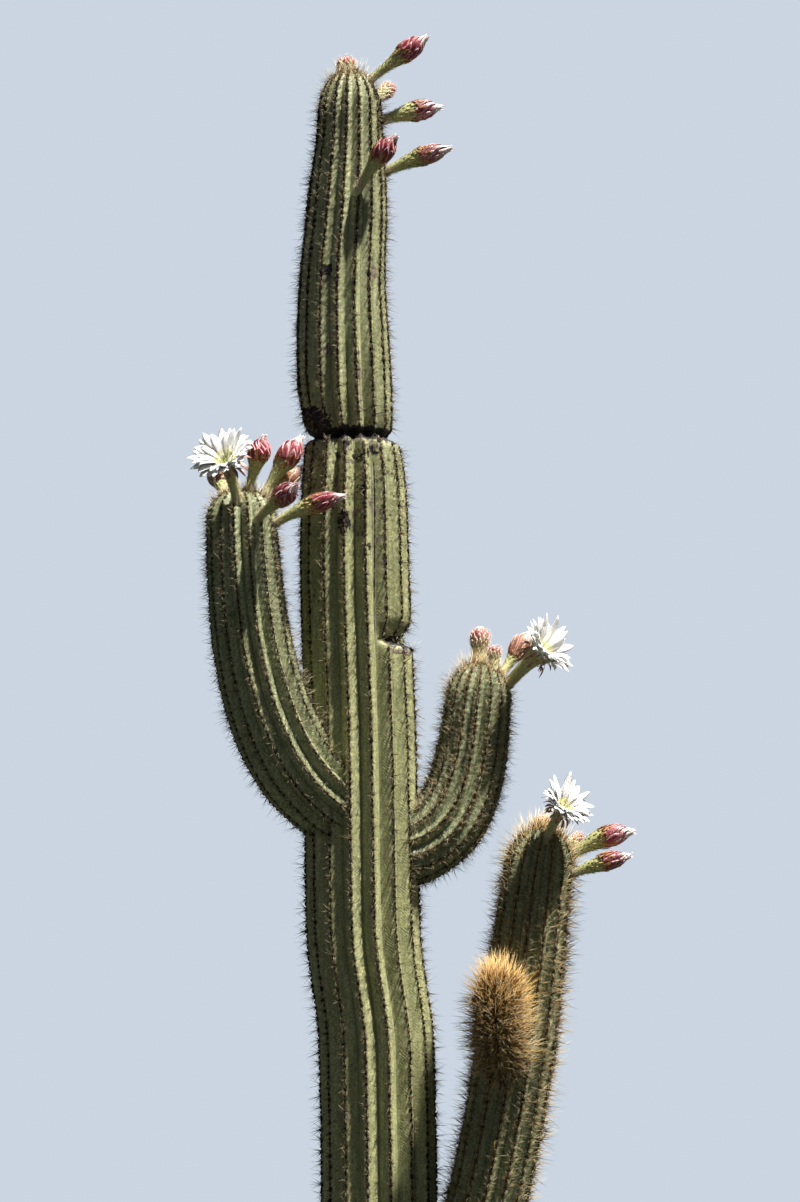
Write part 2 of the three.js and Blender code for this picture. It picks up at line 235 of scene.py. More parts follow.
def arm_stem(name, arm):
    """An arm: rings square to a cubic curve, measured along its length. With r = 1 - t, the curve
    is a r^3 + 3 b t r^2 + 3 c t^2 r + d t^3, and its way is that formula's slope."""
    a, b, c, d = np.array(arm["curve"]) * MM
    steps = np.linspace(0.0, 1.0, CURVE_STEPS + 1)

    def curve(t):
        r = 1 - t
        return a * r ** 3 + 3 * b * t * r ** 2 + 3 * c * t * t * r + d * t ** 3

    stretches = np.linalg.norm(np.diff(curve(steps[:, None]), axis=0), axis=1)
    way = np.concatenate([[0.0], np.cumsum(stretches)])
    length, dome = way[-1], arm["dome"] * MM

    def line(s):
        t = np.interp(s, way, steps)[..., None]
        r = 1 - t
        return curve(t), unit(3 * (r * r * (b - a) + 2 * t * r * (c - b) + t * t * (d - c)))

    return dict(
        name=name, ribs=arm["ribs"], length=length, dome=dome, line=line,
        side=compass(arm["outward"] + 90.0),
        radius=lambda s: np.minimum(
            arm["foot"] * MM, arm["tip"] * MM + arm["taper"] * (length - dome - s)),
        crest=lambda s: arm["rib_turn"] + 0.0 * s, rib_share=lambda s: RIB_DEPTH + 0.0 * s,
        cut=lambda height, bearing: 0.0 * height,
    )


stems = dict(trunk=trunk_stem(), **{name: arm_stem(name, arm) for name, arm in ARMS.items()})
for stem in stems.values():
    print(stem["name"], "length", round(float(stem["length"]), 3), "m, ribs", stem["ribs"])

# %% [markdown]
# ## Areoles along the ribs
# Each rib carries a row of areoles, the small felted cushions that bear the spines. They stand
# close near a growing tip and further apart on old skin. Counting them along the skin, over the
# dome too, gives a number that grows by one from areole to areole. The grid's rows then stand at
# quarters of that number, so each areole and each bulge between two of them gets its own row.

# %% Areole numbers
ROWS_PER_AREOLE = 4
DOME_STEPS, BODY_STEPS = 400, 2000
# Gap between two areoles at the tip and on old skin, and how far from the tip it has opened up
AREOLE_GAPS = dict(
    trunk=(16.5 * MM, 27 * MM, 2.0), left_arm=(15.5 * MM, 22 * MM, 1.0),
    right_arm=(15.5 * MM, 21 * MM, 0.9), low_arm=(16 * MM, 24 * MM, 1.4),
    young_shoot=(11 * MM, 15 * MM, 0.4),
)


def skin_reach(stem, s):
    """Radius over the crests: the stem's radius, times the cosine of the climb in the dome."""
    up = np.clip(1.0 - (stem["length"] - s) / stem["dome"], 0.0, 1.0)
    return stem["radius"](np.minimum(s, stem["length"] - stem["dome"])) * np.sqrt(1.0 - up * up)


def count_areoles(stem):
    """Adds up the way along the skin over the gap there, from the foot to the tip."""
    climb = np.linspace(0.0, np.pi / 2.0, DOME_STEPS)
    body = np.linspace(0.0, stem["length"] - stem["dome"], BODY_STEPS)[:-1]
    s = np.concatenate([body, stem["length"] - stem["dome"] * (1.0 - np.sin(climb))])
    step = np.hypot(np.diff(s), np.diff(skin_reach(stem, s)))
    way = np.concatenate([[0.0], np.cumsum(step)])
    from_tip = way[-1] - way
    near, far, span = AREOLE_GAPS[stem["name"]]
    gap = near + (far - near) * ease(from_tip, 0.0, span)
    number = np.concatenate([[0.0], np.cumsum(step * 0.5 * (1.0 / gap[1:] + 1.0 / gap[:-1]))])
    return dict(s=s, from_tip=from_tip, number=number)


def tip_distance(stem, s):
    """Way along the skin to the tip, in metres."""
    return np.interp(s, stem["count"]["s"], stem["count"]["from_tip"])


def areole_number(stem, s):
    """The running number of the areoles."""
    return np.interp(s, stem["count"]["s"], stem["count"]["number"])


def foot_distance(stem, number):
    """The other way round: distance from the foot where the count has reached a number."""
    return np.interp(number, stem["count"]["number"], stem["count"]["s"])


for index, stem in enumerate(stems.values()):
    stem["count"] = count_areoles(stem)
    shifts = np.random.default_rng(SEED + index).integers(0, ROWS_PER_AREOLE, stem["ribs"])
    stem["shift"] = shifts / ROWS_PER_AREOLE
    print(stem["name"], "areoles on a rib", int(stem["count"]["number"][-1]))

# %% [markdown]
# ## The skin as one function
# A rib has a narrow round crest, flat flanks and a sharp groove. Its section is the square root
# of the squared distance from the crest plus a small constant, which is round at the crest and
# straight beyond. Between two areoles the crest bulges, and the bulge runs down each flank as a
# shallow chevron. The function gives the point of the skin for any distance along the stem, rib
# and place across the rib, so skin, areoles and spines all stand on the very same surface.

# %% Skin function
CREST_ROUND = 0.09
BULGE_WIDE = 0.42
CHEVRON = 0.32
# Height of the bulges on the crest at the tip and on old skin
BULGES = dict(
    trunk=(2.8 * MM, 2.0 * MM), left_arm=(3.8 * MM, 2.4 * MM), right_arm=(4.0 * MM, 3.2 * MM),
    low_arm=(4.0 * MM, 2.8 * MM), young_shoot=(3.0 * MM, 2.0 * MM),
)
BULGE_SPAN = 0.9
# Slow lumps on every stem, and coarser bark on the trunk's foot: height in mm, cell and stretch
LUMP_HIGH, LUMP_CELL, LUMP_STRETCH = 1.6, 0.055, np.array([1.0, 1.0, 0.6])
BARK_HIGH, BARK_CELL, BARK_STRETCH = 3.5, 0.021, np.array([1.0, 1.0, 0.45])
BARK_SPAN = (0.12, 0.62)
FRAME_STEP = 0.012


def rib_section(across):
    """Nought on the crest and one in the groove: sqrt(across^2 + c^2) - c, over its own largest."""
    section = np.sqrt(across ** 2 + CREST_ROUND ** 2) - CREST_ROUND
    return section / (math.sqrt(1.0 + CREST_ROUND ** 2) - CREST_ROUND)


def slow_lumps(stem, points, s, slim):
    """How far the skin stands out unevenly, less so on the dome, and more on the corky foot."""
    slow = lumps(points * LUMP_STRETCH, LUMP_CELL, SEED) * LUMP_HIGH * MM * slim
    if stem["name"] == "trunk":
        bark = 1.0 - ease(s, *BARK_SPAN)
        slow = slow + bark * lumps(points * BARK_STRETCH, BARK_CELL, SEED + 1) * BARK_HIGH * MM
    return slow


def skin_points(stem, s, rib, offset):
    """Point of the skin. s is the distance from the foot, rib the number of the nearest crest,
    and offset the place across the rib, from -0.5 in one groove over 0 on the crest to 0.5.
    Radius = reach * (1 - rib share * section) - notch + bulge, and slow lumps over it all."""
    s, rib, offset = np.broadcast_arrays(s, rib, offset)
    centre, tangent = stem["line"](s)
    outward = unit(np.cross(stem["side"], tangent))
    sideways = np.cross(tangent, outward)
    bearing = stem["crest"](s) + TURN * (rib + offset) / stem["ribs"]
    across = 2.0 * np.abs(offset)
    reach = skin_reach(stem, s)
    slim = reach / stem["radius"](np.minimum(s, stem["length"] - stem["dome"]))
    number = areole_number(stem, s) + stem["shift"][np.mod(rib, stem["ribs"]).astype(int)]
    young, old = BULGES[stem["name"]]
    height = young + (old - young) * ease(tip_distance(stem, s), 0.0, BULGE_SPAN)
    wave = -np.cos(2.0 * np.pi * (number - CHEVRON * across))
    bulge = 0.5 * height * wave * np.exp(-(across / BULGE_WIDE) ** 2) * np.sqrt(slim)
    share = 1.0 - stem["rib_share"](s) * rib_section(across)
    radius = reach * share - stem["cut"](s, bearing) + bulge
    angle = np.radians(bearing)[..., None]
    away = np.cos(angle) * outward + np.sin(angle) * sideways
    points = centre + radius[..., None] * away
    return points + slow_lumps(stem, points, s, slim)[..., None] * away


def skin_frames(stem, s, rib, offset=0.0):
    """The skin's point, its normal, the way towards the tip and the way round, from small steps
    taken along and across. Steps of a whole areole even the bulges out."""
    s, rib = np.broadcast_arrays(s, rib)
    number = areole_number(stem, s)
    before, after = foot_distance(stem, number - 0.5), foot_distance(stem, number + 0.5)
    along = skin_points(stem, after, rib, offset) - skin_points(stem, before, rib, offset)
    round_way = (skin_points(stem, s, rib, offset + FRAME_STEP)
                 - skin_points(stem, s, rib, offset - FRAME_STEP))
    along, round_way = unit(along), unit(round_way)
    normal = unit(np.cross(round_way, along))
    return skin_points(stem, s, rib, offset), normal, along, np.cross(along, normal)


sample = skin_points(stems["trunk"], np.array([2.0]), np.array([12.0]), np.array([0.0]))
print("a point on the trunk's front", np.round(sample, 3))

# %% [markdown]
# ## Meshes from arrays
# Skin, leaves, buds and petals are all tubes: rings of points between a first and a last pole,
# closed by fans at both ends. The faces depend only on how many rings and columns there are, so
# one list of faces serves every copy, with its numbers moved on.

# %% Mesh helpers
CM3_IN_M3 = 1e6


def tube_faces(rows, columns):
    """Four-sided faces between neighbouring rings, and a fan at each pole. The first point is
    the foot pole, the last the tip pole, and rings run anticlockwise as seen from the tip."""
    row = np.arange(rows - 1)[:, None] * columns + 1
    column = np.arange(columns)[None, :]
    beside = (column + 1) % columns
    above = row + columns
    quads = np.stack([row + column, row + beside, above + beside, above + column], -1)
    ring, after = column[0], beside[0]
    last = 1 + (rows - 1) * columns
    foot = np.stack([0 * ring, 1 + after, 1 + ring], -1)
    tip = np.stack([0 * ring + 1 + rows * columns, last + ring, last + after], -1)
    return quads.reshape(-1, 4), np.concatenate([foot, tip])


def copies(faces, count, points_each):
    """The same faces for each copy, every copy's numbers moved on by its points."""
    moved = faces[None] + (np.arange(count) * points_each)[:, None, None]
    return moved.reshape(-1, faces.shape[1])


def circles(first, second, sides):
    """Rings of points, one for each pair of axes: first * cosine + second * sine of a turn."""
    turn = spaced(sides)[None, :, None]
    return np.cos(turn) * first[:, None] + np.sin(turn) * second[:, None]


def make_piece(name, points, quads, triangles, material, slot, nodes=(), **values):
    """A closed mesh at the origin, with its own number at each point for each named value."""
    points = np.asarray(points, float).reshape(-1, 3)
    quads = np.asarray(quads, np.int64).reshape(-1, 4)
    triangles = np.asarray(triangles, np.int64).reshape(-1, 3)
    mesh = bpy.data.meshes.new(name)
    corners = np.concatenate([quads.ravel(), triangles.ravel()]).astype(np.int32)
    starts = np.concatenate([
        np.arange(len(quads)) * 4, len(quads) * 4 + np.arange(len(triangles)) * 3])
    mesh.vertices.add(len(points))
    mesh.vertices.foreach_set("co", points.astype(np.float32).ravel())
    mesh.loops.add(len(corners))
    mesh.loops.foreach_set("vertex_index", corners)
    mesh.polygons.add(len(starts))
    mesh.polygons.foreach_set("loop_start", starts.astype(np.int32))
    mesh.polygons.foreach_set("use_smooth", np.ones(len(starts), bool))
    for key, value in values.items():
        spread = np.asarray(value, float).ravel().astype(np.float32)
        mesh.attributes.new(key, "FLOAT", "POINT").data.foreach_set("value", spread)
    mesh.update(calc_edges=True)
    mesh.materials.append(material)
    made = bpy.data.objects.new(name, mesh)
    bpy.context.scene.collection.objects.link(made)
    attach(made, "root")
    if nodes:
        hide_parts(*nodes)
    split = np.concatenate([quads[:, [0, 1, 2]], quads[:, [0, 2, 3]], triangles])
    a, b, c = points[split[:, 0]], points[split[:, 1]], points[split[:, 2]]
    volume = np.einsum("ij,ij->i", a, np.cross(b, c)).sum() / 6.0
    print(name, "triangles", len(split), "volume", round(volume * CM3_IN_M3, 1), "cm3")
    return made


def make_tubes(name, points, rows, columns, material, slot, nodes=(), **values):
    """Closed tubes of one size as one piece. The points come as (tube, point, XYZ)."""
    count, each = points.shape[:2]
    quads, triangles = [copies(faces, count, each) for faces in tube_faces(rows, columns)]
    return make_piece(name, points, quads, triangles, material, slot, nodes, **values)


print("faces of a tube of 3 rings and 8 columns", [len(faces) for faces in tube_faces(3, 8)])

# %% [markdown]
# ## Shader helpers
# A material is a small tree of nodes. One helper adds a node and sets or links its inputs by
# name. Others mix two colours, rescale a number, or read a value that a piece carries at its
# points. Colours are given as they look on a screen and turned into the shader's linear values.

# %% Shader helpers


def seen(red, green, blue):
    """Linear colour of a screen colour from 0 to 255. With x as its share of 255, that is
    x / 12.92 where it is nearly black, and else ((x + 0.055) / 1.055)^2.4."""
    share = np.array([red, green, blue]) / 255.0
    linear = np.where(share <= 0.04045, share / 12.92, ((share + 0.055) / 1.055) ** 2.4)
    return (*[float(value) for value in linear], 1.0)


def feed(tree, node, inputs):
    """Sets or links a node's inputs, by name or number."""
    for key, value in inputs.items():
        if isinstance(value, bpy.types.NodeSocket):
            tree.links.new(value, node.inputs[key])
        else:
            node.inputs[key].default_value = value


def put(tree, kind, inputs=None, **settings):
    """Adds a node with its own settings, and feeds its inputs."""
    made = tree.nodes.new("ShaderNode" + kind)
    for key, value in settings.items():
        setattr(made, key, value)
    feed(tree, made, inputs or {})
    return made


def blend(tree, share, first, second):
    """Colour between two colours, by a share."""
    return put(tree, "Mix", {0: share, 6: first, 7: second}, data_type="RGBA").outputs[2]


def lay(tree, colour, *layers):
    """Tones laid over a colour, one by one. Each layer is a mask from nought to one and a tone."""
    for mask, tone in layers:
        colour = blend(tree, mask, colour, tone)
    return colour


def rescale(tree, value, low, high, out_low=0.0, out_high=1.0):
    """A number from low to high, moved to the range from out_low to out_high, eased and held."""
    inputs = {0: value, 1: low, 2: high, 3: out_low, 4: out_high}
    return put(tree, "MapRange", inputs, interpolation_type="SMOOTHSTEP").outputs[0]


def sums(tree, operation, first, second=0.0):
    """One sum on one or two numbers."""
    return put(tree, "Math", {0: first, 1: second}, operation=operation).outputs[0]


def plus(tree, first, second):
    """One number added to the other."""
    return sums(tree, "ADD", first, second)


def minus(tree, first, second):
    """The second number taken from the first."""
    return sums(tree, "SUBTRACT", first, second)


def times(tree, first, second):
    """One number times the other."""
    return sums(tree, "MULTIPLY", first, second)


def carried(tree, name):
    """The number that the piece carries at its points under that name."""
    return put(tree, "Attribute", attribute_name=name).outputs["Fac"]


def own_place(tree):
    """Where the point lies in the piece's own coordinates."""
    return put(tree, "TexCoord").outputs["Object"]


def mottle(tree, scale, detail=3.0, stretch=None):
    """Noise on the object's own coordinates, drawn out along Z where stretch is small."""
    place = own_place(tree)
    if stretch is not None:
        place = put(tree, "Mapping", {"Vector": place, "Scale": (1.0, 1.0, stretch)}).outputs[0]
    inputs = {"Vector": place, "Scale": scale, "Detail": detail, "Roughness": 0.55}
    return put(tree, "TexNoise", inputs).outputs[0]


def noise(tree, scale, detail, low, high, out_low=0.0, out_high=1.0, stretch=None):
    """Noise cut off at low and high, and moved to the range from out_low to out_high."""
    return rescale(tree, mottle(tree, scale, detail, stretch), low, high, out_low, out_high)


def stray(tree, scale, detail, reach):
    """Noise from minus the reach to plus the reach, which frays what it is added to."""
    return noise(tree, scale, detail, 0.3, 0.7, -reach, reach)


def patchy(tree, scale, detail, first, second, low=0.35, high=0.65):
    """Colour in patches of two tones: noise from low to high between them."""
    return blend(tree, noise(tree, scale, detail, low, high), first, second)


print("straw as linear", [round(v, 3) for v in seen(200, 190, 120)[:3]])

# %% [markdown]
# A group of nodes is like a function: it is built once, with named sockets, and each material
# that places it gives its own values. A material keeps its Principled shader to itself, sets
# plain constants on the shader's own sockets, and links only what changes over the surface.

# %% Groups and materials


def new_group(name, sockets_in, sockets_out):
    """A node group with named sockets: (name, kind) pairs, with kind Float or Color."""
    tree = bpy.data.node_groups.new(name, "ShaderNodeTree")
    for key, kind in sockets_in:
        tree.interface.new_socket(key, in_out="INPUT", socket_type="NodeSocket" + kind)
    for key, kind in sockets_out:
        tree.interface.new_socket(key, in_out="OUTPUT", socket_type="NodeSocket" + kind)
    entry = tree.nodes.new("NodeGroupInput")
    leave = tree.nodes.new("NodeGroupOutput")
    return tree, entry.outputs, leave.inputs


def use_group(tree, group, inputs):
    """Places a group in a material with that material's own values."""
    made = tree.nodes.new("ShaderNodeGroup")
    made.node_tree = group
    feed(tree, made, inputs)
    return made.outputs


def new_material(name, **constants):
    """A material with a Principled shader whose plain constants are set on its own sockets."""
    made = bpy.data.materials.new(name)
    made.use_nodes = True
    shader = made.node_tree.nodes["Principled BSDF"]
    for key, value in constants.items():
        shader.inputs[key.replace("_", " ")].default_value = value
    return made, made.node_tree, shader


def finish_material(tree, shader, colour, roughness=None, height=None, strength=0.3, depth=0.002):
    """Links colour, roughness and a bump from a height to the shader."""
    tree.links.new(colour, shader.inputs["Base Color"])
    if roughness is not None:
        tree.links.new(roughness, shader.inputs["Roughness"])
    if height is not None:
        bump = put(tree, "Bump", {"Height": height, "Strength": strength, "Distance": depth})
        tree.links.new(bump.outputs["Normal"], shader.inputs["Normal"])


print("materials so far", len(bpy.data.materials))

# %% [markdown]
# ## Skin finish
# The skin is a waxy green that goes from fresh green at the tip to olive on old parts, with a
# pale bloom in patches, brown corky crests, freckles, pits and fine wrinkles, and painted shade
# in the grooves and in the troughs of the wrinkles. All these could be painted by hand, but noise
# that is cut off at a limit gives them anywhere and at any size. Each mark is a mask from nought
# to one, made by its own function, and the colours are laid over one another by these masks.

# %% Skin masks


def crest_mask(tree, given):
    """The corky crest, with a ragged edge. Towards the tip it is wider by Band, and weaker."""
    ragged = stray(tree, 230.0, 4.0, 0.13)
    band = times(tree, given["Band"], rescale(tree, given["Old"], 1.2, 0.1))
    edge = minus(tree, plus(tree, given["Across"], ragged), band)
    crest = rescale(tree, edge, 0.20, 0.08, 0.0, 0.9)
    return times(tree, crest, rescale(tree, given["Old"], 0.05, 0.5, 0.7, 1.0))


def freckle_mask(tree, given, wide):
    """Corky freckles: small noise over a limit, and only where the wide noise is high."""
    grain = plus(tree, mottle(tree, 130.0, 2.0), times(tree, given["Wear"], 0.35))
    return times(tree, rescale(tree, grain, 0.62, 0.70), rescale(tree, wide, 0.40, 0.58))


def pit_mask(tree, given):
    """Dark pits: the middles of some cells, larger and closer together on worn skin."""
    cells = put(tree, "TexVoronoi", {"Vector": own_place(tree), "Scale": 62.0})
    apart = minus(tree, cells.outputs["Distance"], times(tree, given["Wear"], 0.8))
    worn = plus(tree, mottle(tree, 16.0, 2.0), times(tree, given["Wear"], 0.4))
    return times(tree, rescale(tree, apart, 0.20, 0.08, 0.0, 0.8), rescale(tree, worn, 0.47, 0.58))


def wrinkle_wave(tree, given, middle):
    """Wrinkles from -1 to 1: the sine of the areoles' number less the way across, bent by noise,
    on the flanks and in patches only."""
    phase = minus(tree, times(tree, given["Count"], 22.0), times(tree, given["Across"], 26.0))
    wave = sums(tree, "SINE", plus(tree, phase, times(tree, middle, 14.0)))
    wave = times(tree, wave, rescale(tree, given["Across"], 0.1, 0.4))
    return times(tree, wave, noise(tree, 22.0, 1.0, 0.42, 0.6))


def skin_ground(tree, given, wide, middle):
    """Fresh green going over to olive with age, with a pale bloom and dark upright streaks."""
    age = plus(tree, given["Old"], rescale(tree, wide, 0.3, 0.7, -0.35, 0.35))
    green = blend(tree, rescale(tree, age, 0.05, 1.5), given["Fresh"], given["Olive"])
    patch = times(tree, rescale(tree, middle, 0.45, 0.68), given["Bloom"])
    streak = noise(tree, 95.0, 3.0, 0.62, 0.42, 0.0, 0.36, stretch=0.1)
    return lay(tree, green, (patch, seen(196, 203, 160)), (streak, given["GrooveShade"]))


print("masks ready, and node groups so far", len(bpy.data.node_groups))

# %% [markdown]
# Trunk, arms and shoot share the skin, so all of it is one group with sockets for its colours.
# The mesh carries what the group needs to know about the place: Across is nought on a crest and
# one in a groove, Areole is one at an areole, Count is the areoles' number, Old is the distance
# from the tip in metres, and Wear says how worn the skin is. The group's height drives a bump.

# %% Skin group


def make_skin_group():
    """Colour, roughness and height: the ground first, and the marks over it one by one."""
    tree, given, out = new_group(
        "living_skin",
        [("Across", "Float"), ("Areole", "Float"), ("Count", "Float"), ("Old", "Float"),
         ("Fresh", "Color"), ("Olive", "Color"), ("GrooveShade", "Color"), ("Crest", "Color"),
         ("Bloom", "Float"), ("Band", "Float"), ("Wear", "Float")],
        [("Color", "Color"), ("Roughness", "Float"), ("Height", "Float")],
    )
    wide, middle, fine = mottle(tree, 7.0, 2.0), mottle(tree, 55.0, 4.0), mottle(tree, 420.0, 2.0)
    freckle, pit = freckle_mask(tree, given, wide), pit_mask(tree, given)
    wrinkle = wrinkle_wave(tree, given, middle)
    crumb = noise(tree, 340.0, 2.0, 0.50, 0.64, 0.0, 0.8)
    crust = blend(tree, crumb, given["Crest"], seen(166, 148, 118))
    fleck = noise(tree, 210.0, 2.0, 0.66, 0.74, 0.0, 0.7)
    grit = noise(tree, 190.0, 4.0, 0.36, 0.62)
    colour = lay(
        tree, skin_ground(tree, given, wide, middle), (crest_mask(tree, given), crust),
        # Painted shade: the groove's colour over the last fifth of each flank, towards the groove.
        (rescale(tree, given["Across"], 0.80, 1.0, 0.0, 0.6), given["GrooveShade"]),
        (freckle, seen(104, 90, 70)), (fleck, seen(206, 200, 168)), (pit, seen(52, 44, 36)))
    colour = lay(
        tree, colour, (grit, blend(tree, 0.55, colour, given["GrooveShade"])),
        # Painted shade in the troughs of the wrinkles, in the groove's colour.
        (rescale(tree, wrinkle, -0.1, -0.9, 0.0, 0.42), given["GrooveShade"]),
        (rescale(tree, given["Areole"], 0.25, 0.9, 0.0, 0.85), seen(44, 32, 22)))
    tree.links.new(colour, out["Color"])
    tree.links.new(rescale(tree, middle, 0.3, 0.7, 0.42, 0.62), out["Roughness"])
    height = plus(tree, times(tree, middle, 0.7), times(tree, fine, 0.3))
    height = plus(tree, height, times(tree, wrinkle, 0.22))
    height = minus(tree, height, times(tree, pit, 0.5))
    tree.links.new(plus(tree, height, times(tree, freckle, 0.4)), out["Height"])
    return tree


skin_group = make_skin_group()
print("skin group nodes", len(skin_group.nodes))

# %% [markdown]
# The trunk adds what the weather and old wounds have left: black bark, corky scars, long dark
# cracks and a corky grey foot. It also gets painted shade: the black round the pinched waist is
# partly black bark and partly painted shade under the upper segment, the black in the notch is
# painted shade, and the short level cracks are partly painted shade of folds, with a painted
# highlight on their pale lips. A mark drawn by the mesh alone would have steps at its edge. So the
# mesh carries how many millimetres inside a mark a point lies, and in the material noise is added
# to that number, which frays the edge.

# %% Skin materials
# Colours of young and of old skin, of the painted shade in the grooves, which also tints the
# streaks and grit, and of crests, then how much bloom there is and how much wider the crests are
# near the tip
SKIN_LOOKS = dict(
    trunk_skin=((182, 185, 142), (190, 189, 138), (92, 98, 66), (94, 80, 58), 0.35, 0.10),
    # The left arm's skin is a lighter copy of the arm's skin: painted light for the stronger sun on its
    # ribs, with a darker painted shade in its grooves.
    left_arm_skin=((180, 186, 142), (174, 178, 130), (62, 70, 48), (70, 58, 44), 0.35, 0.05),
    arm_skin=((160, 168, 128), (154, 160, 116), (64, 72, 49), (70, 58, 44), 0.35, 0.05),
    shoot_skin=((150, 134, 80), (132, 112, 66), (92, 76, 42), (140, 112, 62), 0.1, 0.0),
)
# How dark each kind of crack is; on the level cracks the dark split is partly painted shade of a fold
CRACK_DARK = dict(upright=1.0, level=0.9)


def lay_marks(tree, colour, height):
    """Grey cork, then black bark, scars and painted shade, then cracks with pale lips, over the colour
    and the height.
    """
    fray = noise(tree, 110.0, 4.0, 0.25, 0.75, -5.0, 5.0)
    cork = rescale(tree, plus(tree, carried(tree, "cork"), fray), -0.8, 0.8)
    grain = noise(tree, 160.0, 4.0, 0.35, 0.65, stretch=0.3)
    grey = blend(tree, grain, seen(84, 74, 64), seen(144, 132, 112))
    # Black marks: black bark and scars, and painted shade round the pinched waist and in the notch.
    black = rescale(tree, plus(tree, carried(tree, "black"), fray), -0.8, 0.8)
    black_and_shade_tone = patchy(tree, 120.0, 3.0, seen(16, 13, 12), seen(44, 35, 31), 0.4, 0.7)
    colour = lay(tree, colour, (cork, grey), (black, black_and_shade_tone))
    for kind, dark in CRACK_DARK.items():
        wander = stray(tree, 45.0, 2.0, 0.8)
        apart = plus(tree, sums(tree, "ABSOLUTE", carried(tree, kind + "_crack")), wander)
        ends = rescale(tree, carried(tree, kind + "_inside"), -2.0, 6.0)
        # On the level cracks the pale lip is partly a painted highlight on the lit lower edge of a fold.
        lip = times(tree, rescale(tree, apart, 4.5, 2.0, 0.0, 0.5 * dark), ends)
        split = times(tree, rescale(tree, apart, 1.8, 0.9, 0.0, dark), ends)
        colour = lay(tree, colour, (lip, seen(182, 170, 150)), (split, seen(34, 26, 28)))
        height = minus(tree, height, times(tree, split, 0.8))
    return colour, plus(tree, height, times(tree, cork, 0.5))


def skin_material(name, fresh, olive, groove, crest, bloom, band):
    """The skin group with one stem's colours, and on the trunk its marks."""
    made, tree, shader = new_material(name, Specular_IOR_Level=0.35)
    skin = use_group(tree, skin_group, {
        "Across": carried(tree, "across"), "Areole": carried(tree, "areole"),
        "Count": carried(tree, "count"), "Old": carried(tree, "old"), "Wear": carried(tree, "wear"),
        "Fresh": seen(*fresh), "Olive": seen(*olive), "GrooveShade": seen(*groove),
        "Crest": seen(*crest), "Bloom": bloom, "Band": band,
    })
    colour, height = skin["Color"], skin["Height"]
    if name == "trunk_skin":
        colour, height = lay_marks(tree, colour, height)
    finish_material(tree, shader, colour, skin["Roughness"], height, 0.35, 0.003)
    return made


skins = {name: skin_material(name, *looks) for name, looks in SKIN_LOOKS.items()}
print("skins", *skins)

# %% [markdown]
# ## Marks on the trunk
# Old wounds lie where they were found, so each one is listed: its height and bearing, and
# its half height and half width. Two long cracks run up the front, and short level ones cross it
# over the waist. The functions give millimetres, which the material's noise can be added to.

# %% Marks
# Height, bearing, half height and half width along the skin, in metres and degrees
CORK_MARKS = [
    (3.326, -38, 0.020, 0.012), (3.305, -113, 0.014, 0.014), (2.668, -98, 0.007, 0.008),
    (2.832, -93, 0.009, 0.008), (2.800, -76, 0.010, 0.007), (2.737, -69, 0.012, 0.008),
    (2.790, -110, 0.008, 0.010), (2.700, -52, 0.009, 0.007), (2.876, -60, 0.007, 0.022),
    (2.868, -95, 0.006, 0.014), (2.893, -85, 0.004, 0.110), (2.366, -22, 0.010, 0.066),
    (1.720, -80, 0.014, 0.010), (2.050, 60, 0.020, 0.012), (1.250, 150, 0.030, 0.015),
    (3.050, 100, 0.014, 0.012), (2.640, -62, 0.008, 0.009), (2.585, -55, 0.012, 0.010),
    (3.120, -108, 0.016, 0.014), (3.060, -70, 0.018, 0.013), (3.230, -98, 0.010, 0.010),
    (2.710, -86, 0.007, 0.014), (2.713, -65, 0.008, 0.012), (2.649, -51, 0.010, 0.009),
    (2.654, -83, 0.009, 0.012),
]
# The first mark, round the whole waist, is partly black bark and partly painted shade under the upper
# segment; the one at 2.388 m is painted shade in the notch.
BLACK_MARKS = [
    (2.912, -90, 0.017, 1.000), (2.945, -152, 0.040, 0.075), (3.326, -112, 0.014, 0.016),
    (2.682, -102, 0.032, 0.020), (2.388, -19, 0.017, 0.084), (2.846, -88, 0.007, 0.007),
    (2.858, -70, 0.007, 0.008), (2.850, -108, 0.010, 0.011), (2.620, -72, 0.009, 0.010),
    (2.880, -97, 0.016, 0.009), (2.849, -78, 0.009, 0.007), (2.760, -78, 0.016, 0.008),
    (2.867, -62, 0.011, 0.009),
]
# Cracks: height and bearing of one end, then of the other; and how far out they are measured
CRACKS = dict(
    upright=([(2.836, -62, 2.380, -68), (3.130, -69, 2.966, -70)], 0.040),
    level=([(2.975, -77, 2.966, -61), (2.977, -56, 2.962, -38), (2.968, -35, 2.966, -16)], 0.012),
)
MARK_UNIT = 1.0 / MM
NO_MARK, NO_CRACK = -60.0, 50.0
# The worn belt under the waist: how strong, how high and how tall
WEAR, WEAR_HEIGHT, WEAR_SPAN = 0.24, 2.81, 0.13
# The corky foot: millimetres inside it at the ground, their fall, and the heights between
CORK_FOOT, CORK_FALL, CORK_SPAN = 12.0, 26.0, (0.1, 1.05)


def inside_marks(s, bearing, radius, marks):
    """Millimetres inside the nearest mark: an ellipse's own measure times its smaller half."""
    depth = np.full(np.broadcast(s, bearing).shape, NO_MARK)
    for height, at, tall, wide in marks:
        turn = np.radians(turned(bearing, at)) * radius
        within = (1.0 - np.hypot((s - height) / tall, turn / wide)) * min(tall, wide) * MARK_UNIT
        depth = np.maximum(depth, within)
    return depth


